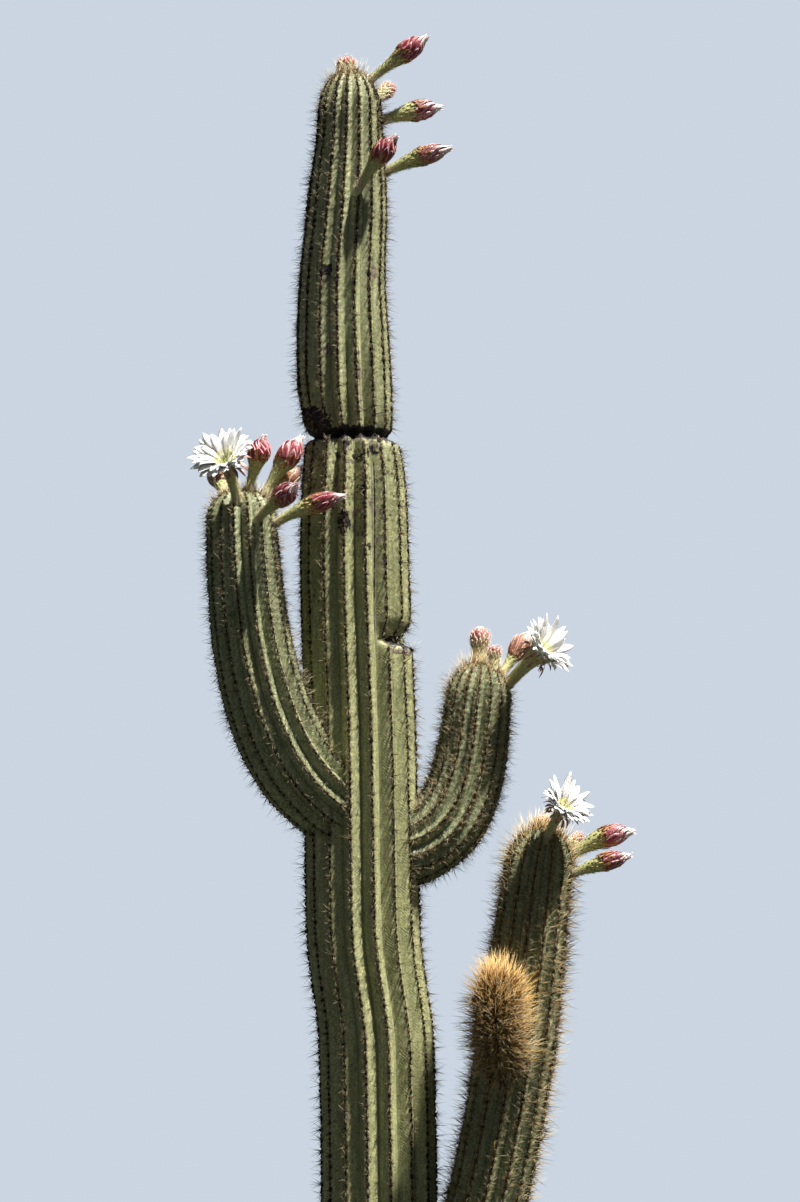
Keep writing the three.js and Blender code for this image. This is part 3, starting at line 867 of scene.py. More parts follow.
def crack_values(s, bearing, radius, cracks, reach):
    """Millimetres across the nearest crack, with a sign, and millimetres inside its two ends. The
    signed value is straight from point to point, so a thin line stays thin on a coarse grid."""
    across = np.full(np.broadcast(s, bearing).shape, NO_CRACK)
    inside = np.full(across.shape, -NO_CRACK)
    for height_a, bearing_a, height_b, bearing_b in cracks:
        turn = np.radians(turned(bearing, 0.5 * (bearing_a + bearing_b))) * radius
        rise = s - 0.5 * (height_a + height_b)
        sweep = np.radians(bearing_b - bearing_a) * np.mean(radius)
        half = np.array([sweep, height_b - height_a]) / 2.0
        length = np.hypot(*half)
        way = half / length
        over = turn * way[0] + rise * way[1]
        beside = turn * way[1] - rise * way[0]
        margin = np.minimum(length - np.abs(over), reach - np.abs(beside)) * MARK_UNIT
        nearer = margin > inside
        across = np.where(nearer, beside * MARK_UNIT, across)
        inside = np.where(nearer, margin, inside)
    return across, inside


def trunk_values(stem, s, rib, offset):
    """What only the trunk carries: millimetres inside cork, inside black marks of bark, scars and
    painted shade, and across cracks, and wear as a bell curve over the height."""
    bearing = stem["crest"](s) + TURN * (rib + offset) / stem["ribs"]
    radius = skin_reach(stem, s)
    foot = CORK_FOOT - ease(s, *CORK_SPAN) * CORK_FALL
    values = dict(
        wear=WEAR * np.exp(-((s - WEAR_HEIGHT) / WEAR_SPAN) ** 2) + 0.0 * rib,
        cork=np.maximum(inside_marks(s, bearing, radius, CORK_MARKS), foot),
        black=inside_marks(s, bearing, radius, BLACK_MARKS))
    for kind, (cracks, reach) in CRACKS.items():
        across, inside = crack_values(s, bearing, radius, cracks, reach)
        values[kind + "_crack"], values[kind + "_inside"] = across, inside
    return values


print("cork marks", len(CORK_MARKS), "black marks", len(BLACK_MARKS))

# %% [markdown]
# ## Skin meshes
# Each stem's skin is one closed grid that takes the place of the stem's solids. Its columns stand
# closer together near the crests, where the form turns, than on the flat flanks, and four rows
# go to each areole. The values for the skin group are worked out for the same grid.

# %% Skin meshes
RIB_COLUMNS = np.array([-0.40, -0.20, -0.08, 0.0, 0.08, 0.20, 0.40, 0.5])
LAST_ROW_GAP = 0.3
AREOLE_SPOT = 0.16


def add_skin(stem, material, slot, nodes):
    """Grid over quarter areoles and rib columns, closed at both poles. Areole is the cube of half
    a cosine between areoles, times a bell curve across the rib."""
    last = stem["count"]["number"][-1]
    numbers = np.arange(0.0, last - LAST_ROW_GAP, 1.0 / ROWS_PER_AREOLE)
    s = foot_distance(stem, numbers)[:, None]
    rib = np.repeat(np.arange(stem["ribs"]), len(RIB_COLUMNS))[None, :]
    offset = np.tile(RIB_COLUMNS, stem["ribs"])[None, :]
    points = skin_points(stem, s, rib, offset)
    rows, columns = points.shape[:2]
    poles = stem["line"](np.array([0.0, stem["length"]]))[0]
    points = np.concatenate([poles[:1], points.reshape(-1, 3), poles[1:]])
    number = numbers[:, None] + stem["shift"][rib]
    across = 2.0 * np.abs(offset) + 0.0 * s
    near = 0.5 + 0.5 * np.cos(2.0 * np.pi * number)
    values = dict(
        across=across, areole=near ** 3 * np.exp(-(across / AREOLE_SPOT) ** 2),
        old=tip_distance(stem, s) + 0.0 * rib, count=number, wear=0.0 * across)
    if stem["name"] == "trunk":
        values.update(trunk_values(stem, s, rib, offset))
    values = {key: np.concatenate([v.ravel()[:1], v.ravel(), v.ravel()[-1:]])
              for key, v in values.items()}
    return make_tubes(
        stem["name"] + "_skin", points[None], rows, columns, material, slot, nodes, **values)


add_skin(stems["trunk"], skins["trunk_skin"], "stem_skin", ["trunk"])
for arm_name, look in (("left_arm", "left_arm_skin"), ("right_arm", "arm_skin"), ("low_arm", "arm_skin")):
    add_skin(stems[arm_name], skins[look], "stem_skin", [arm_name + "_elbow", arm_name + "_upright"])
add_skin(stems["young_shoot"], skins["shoot_skin"], "young_skin", ["young_shoot"])

# %% [markdown]
# ## Areoles
# An areole is a low cushion of dark felt on the crest, about a centimetre wide. Painting it would
# leave it flat at the outline, so each one is a small closed dome of two rings, set on the skin
# by the skin's own frame. Those that would lie inside another stem are left out. Smaller and
# looser dark cushions stand half a step further on, between the areoles: partly felt and partly
# painted shadow that the spines cast down the crest.

# %% Areole places
LINE_SAMPLES = 240
INSIDE_SHARE = 0.96
# Areoles count from the foot; the first and the last stand this far from foot and tip
FIRST_COUNT, LAST_GAP = 0.6, 0.8
BARE_FOOT = (0.15, 1.1)
WAIST_HEIGHT, WAIST_BARE = 2.910, 0.016


def inside_other(points, own):
    """True where a point lies inside another stem, taken as balls of its radius on its line."""
    hidden = np.zeros(len(points), bool)
    for name, stem in stems.items():
        if name == own:
            continue
        s = np.linspace(0.0, stem["length"], LINE_SAMPLES)
        centre, reach = stem["line"](s)[0], skin_reach(stem, s)
        apart = np.linalg.norm(points[:, None] - centre[None], axis=2)
        hidden |= (apart < reach[None] * INSIDE_SHARE).any(axis=1)
    return hidden


def areole_places(stem, step=0.0):
    """Distance from the foot and rib of every areole: the places where the count is whole, or a
    step beyond. On the trunk's old foot more and more are gone, and the waist has none."""
    last = stem["count"]["number"][-1]
    count = np.arange(1, int(last))[:, None] - stem["shift"][None, :] + step
    rib = np.broadcast_to(np.arange(stem["ribs"]), count.shape)
    kept = (count > FIRST_COUNT) & (count < last - LAST_GAP)
    s, rib = foot_distance(stem, count[kept]), rib[kept]
    shown = ~inside_other(skin_points(stem, s, rib, 0.0), stem["name"])
    if stem["name"] == "trunk":
        gone = ease(s, *BARE_FOOT) < np.random.default_rng(SEED).uniform(0.0, 1.0, len(s))
        waist = np.abs(s - WAIST_HEIGHT) < WAIST_BARE
        shown &= ~gone & ~waist
    return s[shown], rib[shown]


print("areoles on the trunk", len(areole_places(stems["trunk"])[0]))

# %% [markdown]
# Felt is dull and dark, with hardly any shine. It is browner from one cushion to the next, in
# patches, and where it is young, so the mesh carries a tone for each cushion and its age.

# %% Areole felt
PAD_RINGS = np.array([[1.0, -0.45], [0.78, 0.55]])
PAD_WIDE, PAD_LONG, PAD_HIGH = 3.9 * MM, 7.4 * MM, 3.2 * MM
PAD_SUNK = 0.5
# How large the cushions are on each stem, how much larger near its tip, and how much browner
PAD_LOOKS = dict(
    trunk=(1.00, 0.20, -0.04), left_arm=(0.68, 0.0, -0.10), right_arm=(0.76, 0.0, 0.04),
    low_arm=(0.86, 0.0, 0.16), young_shoot=(0.55, 0.0, 0.40),
)
PAD_REACH = (0.7, 1.2)
PAD_TONES = 0.10
# Kinds: name, step beyond the areole, sides, smallest and largest size, place across the rib
# The crest kind is partly felt and partly painted shadow of the spines.
FELT_KINDS = [
    ("areole_felt", 0.0, 6, 0.62, 1.25, 0.0), ("crest_felt", 0.5, 4, 0.35, 0.95, 0.035),
]


def felt_material():
    """Dark felt, browner from one cushion to the next and in patches, with a coarse bump."""
    made, tree, shader = new_material("areole_felt", Roughness=0.95, Specular_IOR_Level=0.1)
    grain = plus(tree, mottle(tree, 300.0, 3.0), carried(tree, "tone"))
    colour = blend(tree, rescale(tree, grain, 0.4, 0.8), seen(30, 24, 18), seen(116, 100, 74))
    tip = rescale(tree, carried(tree, "old"), 0.10, 0.0, 0.0, 0.75)
    colour = lay(tree, colour, (tip, seen(148, 122, 78)))
    finish_material(tree, shader, colour, None, mottle(tree, 900.0, 2.0), 0.5, 0.001)
    return made


def pad_points(places, sizes, sides):
    """Domes: each ring is a circle in the skin's frame, times the areole's size."""
    point, normal, along, beside = places
    flat = circles(beside * PAD_WIDE, along * PAD_LONG, sides)
    rings = [flat * wide + normal[:, None] * high * PAD_HIGH for wide, high in PAD_RINGS]
    ring = np.concatenate(rings, axis=1) * sizes[:, None, None] + point[:, None]
    foot = point - normal * PAD_HIGH * PAD_SUNK * sizes[:, None]
    tip = point + normal * PAD_HIGH * sizes[:, None]
    return np.concatenate([foot[:, None], ring, tip[:, None]], axis=1)


def add_felt(name, felt, step, sides, smallest, largest, aside):
    """Cushions of all the stems, at the areoles or a step beyond them, joined into one piece."""
    parts, ages, tones = [], [], []
    for index, stem in enumerate(stems.values()):
        rng = np.random.default_rng(SEED + index)
        s, rib = areole_places(stem, step)
        places = skin_frames(stem, s, rib, rng.uniform(-aside, aside, len(s)))
        if step == 0.0:
            stem["areoles"] = (s, rib, places)
        scale, more, brown = PAD_LOOKS[stem["name"]]
        age = tip_distance(stem, s)
        scale = scale * (1.0 + more * (1.0 - ease(age, *PAD_REACH)))
        parts.append(pad_points(places, rng.uniform(smallest, largest, len(s)) * scale, sides))
        ages.append(age)
        tones.append(brown + rng.normal(0.0, PAD_TONES, len(s)))
        print(stem["name"], "cushions", len(s))
    points = np.concatenate(parts)
    each = points.shape[1]
    return make_tubes(
        name, points, len(PAD_RINGS), sides, felt, "stem_skin",
        old=np.repeat(np.concatenate(ages), each), tone=np.repeat(np.concatenate(tones), each))


areole_felt = felt_material()
for piece_name, *kind in FELT_KINDS:
    add_felt(piece_name, areole_felt, *kind)

# %% [markdown]
# ## Spines
# A spine is a stiff needle of horn. Curves with a thickness would do for a few, but there are
# tens of thousands, so each spine is a closed spike of three sides with only four triangles. It
# carries a tone of its own and the value tip, nought at the root and one at the far end.

# %% Spikes
SPIKE_FACES = np.array([[0, 2, 1], [0, 1, 3], [1, 2, 3], [2, 0, 3]])
SPIKE_SIDES = 3
NEARLY_UPRIGHT = 0.9


def spikes(root, way, length, radius):
    """Three points round each root, square to the way, and one at the far end."""
    upright = np.abs(way[:, 2:3]) >= NEARLY_UPRIGHT
    helper = np.where(upright, [[1.0, 0.0, 0.0]], [[0.0, 0.0, 1.0]])
    first = unit(np.cross(way, helper))
    ring = circles(first, np.cross(way, first), SPIKE_SIDES) * radius[:, None, None]
    tip = root + way * length[:, None]
    return np.concatenate([root[:, None] + ring, tip[:, None]], axis=1)


def add_spikes(name, spikes_made, tones, material, slot):
    """Joins spikes into one piece. tone is one number for each spike, tip nought to one."""
    points = np.concatenate(spikes_made)
    tone = np.repeat(np.concatenate(tones), SPIKE_SIDES + 1)
    tip = np.tile([0.0] * SPIKE_SIDES + [1.0], len(points))
    faces = copies(SPIKE_FACES, len(points), SPIKE_SIDES + 1)
    return make_piece(name, points, [], faces, material, slot, tone=tone, tip=tip)


def spine_material():
    """Dark horn, then straw, then gold as the tone rises, paler to the tip, with a dull polish."""
    made, tree, shader = new_material("spine_horn", Roughness=0.45, Specular_IOR_Level=0.4)
    tone, tip = carried(tree, "tone"), carried(tree, "tip")
    straw, gold = rescale(tree, tone, 0.1, 0.5), rescale(tree, tone, 0.6, 0.9)
    root = blend(tree, straw, seen(36, 28, 24), seen(136, 114, 78))
    root = blend(tree, gold, root, seen(136, 86, 38))
    end = blend(tree, straw, seen(84, 72, 62), seen(216, 202, 164))
    end = blend(tree, gold, end, seen(206, 168, 98))
    colour = blend(tree, rescale(tree, tip, 0.0, 0.9), root, end)
    rough = noise(tree, 500.0, 2.0, 0.3, 0.7, 0.35, 0.6)
    finish_material(tree, shader, colour, rough)
    return made


spine_horn = spine_material()
print("triangles in a spine", len(SPIKE_FACES), "and its material", spine_horn.name)

# %% [markdown]
# Each areole bears a ring of short spines that lie over the flanks, and some longer ones that
# stand out. How many there are is drawn for each areole. A spine's way is a mix of the skin's
# normal, the way to the tip and the way round. Near a growing tip the spines are longer, thinner,
# paler and lean up, and on old skin they are darker and shorter.

# %% Spines
# Number and length in a ring, number and length standing, lean to the tip, gold and thickness
SPINE_KEYS = ("ring", "ring_long", "stand", "stand_long", "lean", "gold", "size")
SPINE_ROWS = dict(
    trunk=(12, 18 * MM, 4, 32 * MM, -0.15, 0.08, 0.88),
    left_arm=(11, 17 * MM, 4, 31 * MM, -0.1, 0.16, 0.9),
    right_arm=(12, 23 * MM, 5, 34 * MM, 0.0, 0.26, 0.9),
    low_arm=(14, 26 * MM, 5, 44 * MM, 0.2, 0.36, 1.2),
    young_shoot=(10, 34 * MM, 10, 64 * MM, 0.25, 0.64, 1.35),
)
# Slant from the normal in degrees, from and to, and thickness
SPINE_SETS = dict(ring=(44.0, 86.0, 0.75), stand=(4.0, 54.0, 1.0))
SPINE_RADIUS = 0.80 * MM
LENGTH_SPREAD, WIDTH_SPREAD, LEAN_SPREAD, TONE_SPREAD = (0.55, 1.25), (0.8, 1.2), 0.12, 0.12
ROOT_LIFT, ROOT_ASIDE = 0.4, 0.5
YOUNG_SPAN = (0.02, 0.16)
# Round a tip the spines are longer, thinner, paler and fewer, and they lean up
YOUNG_LONGER, YOUNG_THINNER, YOUNG_TONE, YOUNG_FEWER, YOUNG_LEAN = 0.30, 0.20, 0.26, 0.20, 0.30
BLEACHED_SHARE, BLEACHED_TONE = 0.42, 0.36
# On the shoot the gold fades a little away from its tip
SHOOT_FADE, SHOOT_FADE_SPAN = 0.2, (0.1, 0.35)


def spines_of(stem, seed):
    """Spikes of one stem: for every areole a ring set and a standing set. With the slant and a
    turn round the areole, way = normal * cos(slant) + tipward * (sin(slant) * cos(turn) + lean)
    + round * sin(slant) * sin(turn)."""
    s, rib, (point, normal, along, beside) = stem["areoles"]
    facts, rng = dict(zip(SPINE_KEYS, SPINE_ROWS[stem["name"]])), np.random.default_rng(seed)
    age, shoot = tip_distance(stem, s), stem["name"] == "young_shoot"
    young = 1.0 - ease(age, *YOUNG_SPAN)
    made, tones = [], []
    for kind, (slant_low, slant_high, thick) in SPINE_SETS.items():
        number = rng.poisson(facts[kind] * (1.0 - YOUNG_FEWER * young))
        at = np.repeat(np.arange(len(s)), number)
        turn = rng.uniform(0.0, 2.0 * np.pi, len(at))
        slant = np.radians(rng.uniform(slant_low, slant_high, len(at)))
        lean = facts["lean"] + YOUNG_LEAN * young[at] + rng.normal(0.0, LEAN_SPREAD, len(at))
        way = (normal[at] * np.cos(slant)[:, None]
               + along[at] * (np.sin(slant) * np.cos(turn) + lean)[:, None]
               + beside[at] * (np.sin(slant) * np.sin(turn))[:, None])
        longer = 1.0 + YOUNG_LONGER * young[at] * (not shoot)
        long = facts[kind + "_long"] * rng.uniform(*LENGTH_SPREAD, len(at)) * longer
        size = SPINE_RADIUS * facts["size"] * thick
        size = size * rng.uniform(*WIDTH_SPREAD, len(at)) * (1.0 - YOUNG_THINNER * young[at])
        spread = along[at] * np.cos(turn)[:, None] + beside[at] * np.sin(turn)[:, None]
        root = point[at] + normal[at] * PAD_HIGH * ROOT_LIFT + spread * PAD_WIDE * ROOT_ASIDE
        made.append(spikes(root, unit(way), long, size))
        fade = SHOOT_FADE * ease(age[at], *SHOOT_FADE_SPAN) * shoot
        tone = facts["gold"] + YOUNG_TONE * young[at] - fade
        tone = tone + rng.normal(0.0, TONE_SPREAD, len(at))
        tone = tone + BLEACHED_TONE * (rng.uniform(0.0, 1.0, len(at)) < BLEACHED_SHARE)
        tones.append(np.clip(tone, 0.0, 1.0))
    return made, tones


SPINE_PIECES = [
    ("trunk_spines", ["trunk"], "stem_skin"),
    ("arm_spines", ["left_arm", "right_arm", "low_arm"], "stem_skin"),
    ("shoot_spines", ["young_shoot"], "young_skin"),
]
for piece_name, carriers, slot in SPINE_PIECES:
    sets = [spines_of(stems[carrier], SEED + index) for index, carrier in enumerate(carriers)]
    add_spikes(piece_name, [part for made, _ in sets for part in made],
               [tone for _, tones in sets for tone in tones], spine_horn, slot)

# %% [markdown]
# ## Blooms
# Buds and flowers stand on the stems near their tips. Each grows along one upright arc, which
# leaves the skin at one rise and ends at another, always on the same heading. On a bud a green
# scaly tube swells into a head of crimson tepals; an open flower spreads its petals over the
# mouth of the tube. Their places and measures are those of the solids, to within two centimetres.

# %% Bloom measures
BLOOM_KEYS = ("name", "stem", "kind", "below", "bearing", "heading", "rise_foot", "rise_tip",
              "length", "wide")
BLOOM_ROWS = [
    ("trunk_crown_bud", "trunk", "young", 14, 100, 113, 78, 78, 62, 52),
    ("trunk_bud_top", "trunk", "bud", 31, -20, -8, 38, 34, 185, 55),
    ("trunk_bud_short", "trunk", "young", 67, 25, 55, 32, 40, 88, 42),
    ("trunk_bud_curved", "trunk", "bud", 131, 2, 4, 22, 6, 158, 55),
    ("trunk_bud_front", "trunk", "bud", 336, -73, -30, 57, 38, 170, 55),
    ("trunk_bud_right", "trunk", "bud", 267, 2, -10, 26, 10, 183, 51),
    ("left_flower", "left_arm", "flower", 34, -95, -114, 60, 38, 146, 164),
    ("left_bud_outer", "left_arm", "opening", 14, 150, 105, 44, 44, 126, 60),
    ("left_bud_middle", "left_arm", "bud", 6, -50, -27, 74, 68, 138, 56),
    ("left_bud_tall", "left_arm", "bud", 20, 15, 6, 62, 54, 180, 61),
    ("left_bud_back", "left_arm", "pale", 30, 50, 26, 41, 41, 153, 50),
    ("left_bud_front", "left_arm", "bud", 84, -59, -46, 28, 22, 158, 55),
    ("left_bud_right", "left_arm", "bud", 93, -17, -14, 30, 8, 191, 48),
    ("right_bud_young", "right_arm", "young", 3, 107, 66, 87, 87, 95, 52),
    ("right_bud_small", "right_arm", "young", 14, -40, 88, 80, 80, 60, 34),
    ("right_bud_open", "right_arm", "opening", 24, 20, 38, 48, 52, 148, 54),
    ("right_flower", "right_arm", "flower", 50, -12, -37, 42, 28, 176, 152),
    ("low_flower", "low_arm", "flower", 24, -84, -50, 56, 38, 126, 138),
    ("low_bud_young", "low_arm", "young", 20, 92, 180, 84, 84, 46, 38),
    ("low_bud_upper", "low_arm", "bud", 60, 5, -4, 38, 4, 168, 56),
    ("low_bud_lower", "low_arm", "bud", 104, -12, -12, 22, 12, 152, 46),
    ("low_bud_small", "low_arm", "young", 48, 40, 34, 30, 30, 72, 30),
]
# Share of the length against share of the half width, from the foot to the tip
BUD_SHAPE = np.array([
    [0, 0.38], [0.2, 0.43], [0.36, 0.56], [0.5, 0.78], [0.6, 0.94], [0.68, 1.0], [0.78, 0.93],
    [0.86, 0.68], [0.92, 0.40], [0.97, 0.22], [1.0, 0.10]])
STOUT_SHAPE = np.array([
    [0, 0.45], [0.2, 0.56], [0.34, 0.74], [0.46, 0.90], [0.58, 0.99], [0.68, 0.97], [0.78, 0.86],
    [0.86, 0.62], [0.92, 0.38], [0.97, 0.22], [1.0, 0.10]])
YOUNG_SHAPE = np.array([
    [0, 0.66], [0.35, 0.74], [0.5, 0.88], [0.68, 1.0], [0.85, 0.88], [0.95, 0.52], [1.0, 0.1]])
FLOWER_SHAPE = np.array([[0, 0.14], [0.4, 0.17], [0.62, 0.24], [0.74, 0.32], [1.0, 0.40]])
STOUT_BUDS = (
    "trunk_bud_curved", "trunk_bud_right", "left_bud_right", "low_bud_upper", "low_bud_lower")
# Flowers with a wider tube than the others
TUBE_WIDER = dict(right_flower=1.3)
# How much paler than the darkest the head of each bud is
PALER = dict(
    trunk_bud_top=0.05, trunk_bud_curved=0.30, trunk_bud_right=0.36, left_bud_tall=0.04,
    left_bud_right=0.06, low_bud_upper=0.24, low_bud_lower=0.20, left_bud_back=0.30,
    # left_bud_outer is paler partly in its own tone and partly as painted light against the flower's
    # shadow on it.
    left_bud_outer=0.30, right_bud_open=0.16,
    left_bud_middle=-0.22, trunk_bud_front=-0.10,
)
STRAIGHT = 1e-6


def bloom_foot(bloom):
    """Point on the stem's crests, below its tip by the way and on the compass bearing."""
    stem = stems[bloom["stem"]]
    s = np.array(stem["length"] - bloom["below"])
    centre, tangent = stem["line"](s)
    flat = compass(bloom["bearing"])
    away = unit(flat - np.dot(flat, tangent) * tangent)
    return centre + away * skin_reach(stem, s)


def bloom_points(bloom, share, azimuth, radius):
    """Point round the bloom's arc: the arc's rise goes evenly from foot to tip, so its way across
    and up are the integrals of the cosine and sine of the rise."""
    share, azimuth, radius = np.broadcast_arrays(share, azimuth, radius)
    start, end = math.radians(bloom["rise_foot"]), math.radians(bloom["rise_tip"])
    turn = (end - start) / bloom["length"]
    turn = turn if abs(turn) > STRAIGHT else STRAIGHT
    rise = start + turn * share * bloom["length"]
    across = (np.sin(rise) - math.sin(start)) / turn
    up = (math.cos(start) - np.cos(rise)) / turn
    flat, sideways = compass(bloom["heading"]), compass(bloom["heading"] + 90.0)
    centre = bloom["foot"] + across[..., None] * flat + up[..., None] * np.array([0.0, 0.0, 1.0])
    tangent = compass(bloom["heading"], np.degrees(rise))
    outward = np.cross(sideways, tangent)
    radial = np.cos(azimuth)[..., None] * outward + np.sin(azimuth)[..., None] * sideways
    return centre + radius[..., None] * radial, radial, tangent


blooms = [dict(zip(BLOOM_KEYS, row)) for row in BLOOM_ROWS]
for bloom in blooms:
    for key in ("below", "length", "wide"):
        bloom[key] = bloom[key] * MM
    bloom["foot"] = bloom_foot(bloom)
    bloom["tube"] = TUBE_WIDER.get(bloom["name"], 1.0)
    bud_shape = STOUT_SHAPE if bloom["name"] in STOUT_BUDS else BUD_SHAPE
    bloom["shape"] = {"young": YOUNG_SHAPE, "flower": FLOWER_SHAPE}.get(bloom["kind"], bud_shape)
    bloom["shape"] = bloom["shape"] * [1.0, bloom["tube"]]
print("blooms", len(blooms), "tallest foot", round(max(b["foot"][2] for b in blooms), 3))

# %% [markdown]
# ## Bloom bodies
# Under scales and tepals lies a plain body, turned round the arc: the green tube and, on a bud,
# the dark core of the head. It closes every gap between the leaves laid over it. An open flower's
# tube turns in at the mouth and goes down into its throat, so it is a cup with a real wall.

# %% Bloom bodies
BODY_COLUMNS, BODY_ROWS = 22, 26
CORE_SHARE = 0.90
# Shares of the length: where a body starts inside the stem, and where a tube and a head end
ROOT_SHARE, TUBE_END, HEAD_END = -0.10, 0.79, 0.985
# Way round the lip and down the throat of an open flower: share of the length and half width
THROAT_WAY = np.array([
    [0.80, 0.345], [0.805, 0.325], [0.78, 0.29], [0.70, 0.22], [0.60, 0.15], [0.52, 0.08]])
LIP_INNER, THROAT_INNER = 0.3, 1.0
RIDGE_HIGH, RIDGES, RIDGE_WIND = 0.35 * MM, 8.0, 22.0


def bloom_width(bloom, share):
    """Radius of the body at a share of the length, held at the foot's below it."""
    return through(bloom["shape"], np.clip(share, 0.0, 1.0), 1) * bloom["wide"] / 2.0


def body_grid(bloom):
    """Rings of one body, from inside the stem to the tip or down into the throat. Low ridges wind
    up it, as the cosine of so many turns plus a share of the way."""
    turn, inner = spaced(BODY_COLUMNS), np.zeros(BODY_ROWS)
    if bloom["kind"] == "flower":
        outside = np.linspace(ROOT_SHARE, TUBE_END, BODY_ROWS - len(THROAT_WAY))
        throat = THROAT_WAY[:, 1] * bloom["tube"] * bloom["wide"] / 2.0
        share = np.concatenate([outside, THROAT_WAY[:, 0]])
        radius = np.concatenate([bloom_width(bloom, outside), throat])
        inner[-len(THROAT_WAY):] = np.linspace(LIP_INNER, THROAT_INNER, len(THROAT_WAY))
    else:
        share = np.linspace(ROOT_SHARE, HEAD_END, BODY_ROWS)
        radius = bloom_width(bloom, share) * CORE_SHARE
    ridge = RIDGE_HIGH * np.cos(RIDGES * turn[None, :] + RIDGE_WIND * share[:, None])
    grid = bloom_points(bloom, share[:, None], turn[None, :], radius[:, None] + ridge)[0]
    poles = bloom_points(bloom, share[[0, -1]], 0.0, 0.0)[0]
    points = np.concatenate([poles[:1], grid.reshape(-1, 3), poles[1:]])
    values = [np.concatenate([v[:1], np.repeat(v, BODY_COLUMNS), v[-1:]]) for v in (share, inner)]
    return points, *values


def flesh_material():
    """Olive green tube, brown at the shoulder and dark crimson in the head, green in a throat."""
    made, tree, shader = new_material("bloom_flesh", Roughness=0.55, Specular_IOR_Level=0.3)
    share, inner = carried(tree, "share"), carried(tree, "inner")
    grain = mottle(tree, 240.0, 4.0)
    green = blend(tree, rescale(tree, grain, 0.35, 0.65), seen(146, 152, 100), seen(192, 194, 138))
    foot = rescale(tree, share, 0.20, 0.0, 0.0, 0.8)
    head = rescale(tree, plus(tree, share, stray(tree, 90.0, 2.0, 0.06)), 0.56, 0.66)
    head = times(tree, head, carried(tree, "ripe"))
    throat = blend(tree, rescale(tree, grain, 0.4, 0.6), seen(176, 190, 96), seen(206, 214, 140))
    colour = lay(
        tree, green, (foot, seen(184, 178, 148)), (head, seen(92, 18, 30)),
        (rescale(tree, inner, 0.0, 0.3), throat))
    finish_material(tree, shader, colour, None, grain, 0.35, 0.001)
    return made


def add_bodies(name, chosen, slot):
    """The bodies of some blooms as one piece, standing for their solids."""
    grids, shares, inners = zip(*[body_grid(bloom) for bloom in chosen])
    points = np.stack(grids)
    ripe = [0.0 if bloom["kind"] in ("young", "flower") else 1.0 for bloom in chosen]
    return make_tubes(
        name, points, BODY_ROWS, BODY_COLUMNS, bloom_flesh, slot, [b["name"] for b in chosen],
        share=np.concatenate(shares), inner=np.concatenate(inners),
        ripe=np.repeat(ripe, points.shape[1]))


bloom_flesh = flesh_material()
flowers = [bloom for bloom in blooms if bloom["kind"] == "flower"]
add_bodies("bud_bodies", [bloom for bloom in blooms if bloom["kind"] != "flower"], "bud")
add_bodies("flower_tubes", flowers, "bud")

# %% [markdown]
# ## Leaves on a path
# Scale, tepal, sepal and petal are all one form: a thin closed leaf carried along a path, with a
# width that swells and tapers, a hollow or crowned section and a small thickness. One function
# makes any number at once, from whole arrays of paths, normals and half widths.

# %% Leaf function
LEAF_ACROSS = np.array([-1.0, -0.5, 0.0, 0.5, 1.0, 0.5, 0.0, -0.5])
LEAF_SIDE = np.array([0.0, 1.0, 1.0, 1.0, 0.0, -1.0, -1.0, -1.0])
EDGE_THINNER = 0.6
TIP_POWER, TIP_LEAST = 1.7, 0.02


def leaves(path, normal, half_width, cup, thick):
    """Each ring: path + side * across * half width + normal * (cup * across^2 + thickness *
    side sign * (1 - 0.6 across^2)), where the side is the way along crossed with the normal."""
    along = unit(np.gradient(path, axis=1))
    normal = unit(normal - (normal * along).sum(-1, keepdims=True) * along)
    side = np.cross(along, normal)
    x, sign = LEAF_ACROSS[None, None, :, None], LEAF_SIDE[None, None, :, None]
    lift = cup[..., None, None] * x ** 2 + thick * sign * (1 - EDGE_THINNER * x ** 2)
    ring = path[:, :, None] + side[:, :, None] * x * half_width[..., None, None]
    ring = ring + normal[:, :, None] * lift
    count, rows = path.shape[:2]
    grid = ring.reshape(count, rows * len(LEAF_ACROSS), 3)
    return np.concatenate([path[:, :1], grid, path[:, -1:]], axis=1)


def leaf_values(count, rows, tone):
    """For each point of each leaf: how far along, how far across, and the leaf's own tone."""
    share = np.linspace(0.0, 1.0, rows)
    along = np.concatenate([[0.0], np.repeat(share, len(LEAF_ACROSS)), [1.0]])
    across = np.concatenate([[0.0], np.tile(np.abs(LEAF_ACROSS), rows), [0.0]])
    tone = np.repeat(tone, len(along))
    return dict(along=np.tile(along, count), across=np.tile(across, count), tone=tone)


def add_leaves(name, batches, rows, material, slot):
    """Joins batches of (points, tones) with the same number of rows into one piece."""
    points = np.concatenate([batch[0] for batch in batches])
    values = leaf_values(len(points), rows, np.concatenate([batch[1] for batch in batches]))
    return make_tubes(name, points, rows, len(LEAF_ACROSS), material, slot, **values)


def lance(t, foot, belly, point=0.8):
    """Width of a lance-shaped leaf: eased from the foot's share up to the belly, then a power of
    what is left to the tip. The larger the power, the sharper the point."""
    swell = foot + (1.0 - foot) * ease(t, 0.0, belly)
    rest = np.clip((t - belly) / (1.0 - belly), 0.0, 1.0)
    return swell * np.clip(1.0 - rest ** TIP_POWER, TIP_LEAST, 1.0) ** point


print("leaf width along its length", np.round(lance(np.linspace(0, 1, 6), 0.5, 0.5), 2))

# %% [markdown]
# ## Scales
# Small pointed scales climb the tube in a spiral, each the golden angle round from the last, and
# grow longer and browner towards the shoulder. Copies of one scale turned into place would be
# simple, but they would all look alike and stand off a curved tube. Here each scale's path is
# laid on the body itself, and withered scales curl away round the shoulder.

# %% Scales
GOLDEN = math.radians(137.508)
ANY_TURN = 6.28
LAID_SHARE = 0.92
SCALE_ROWS = 4
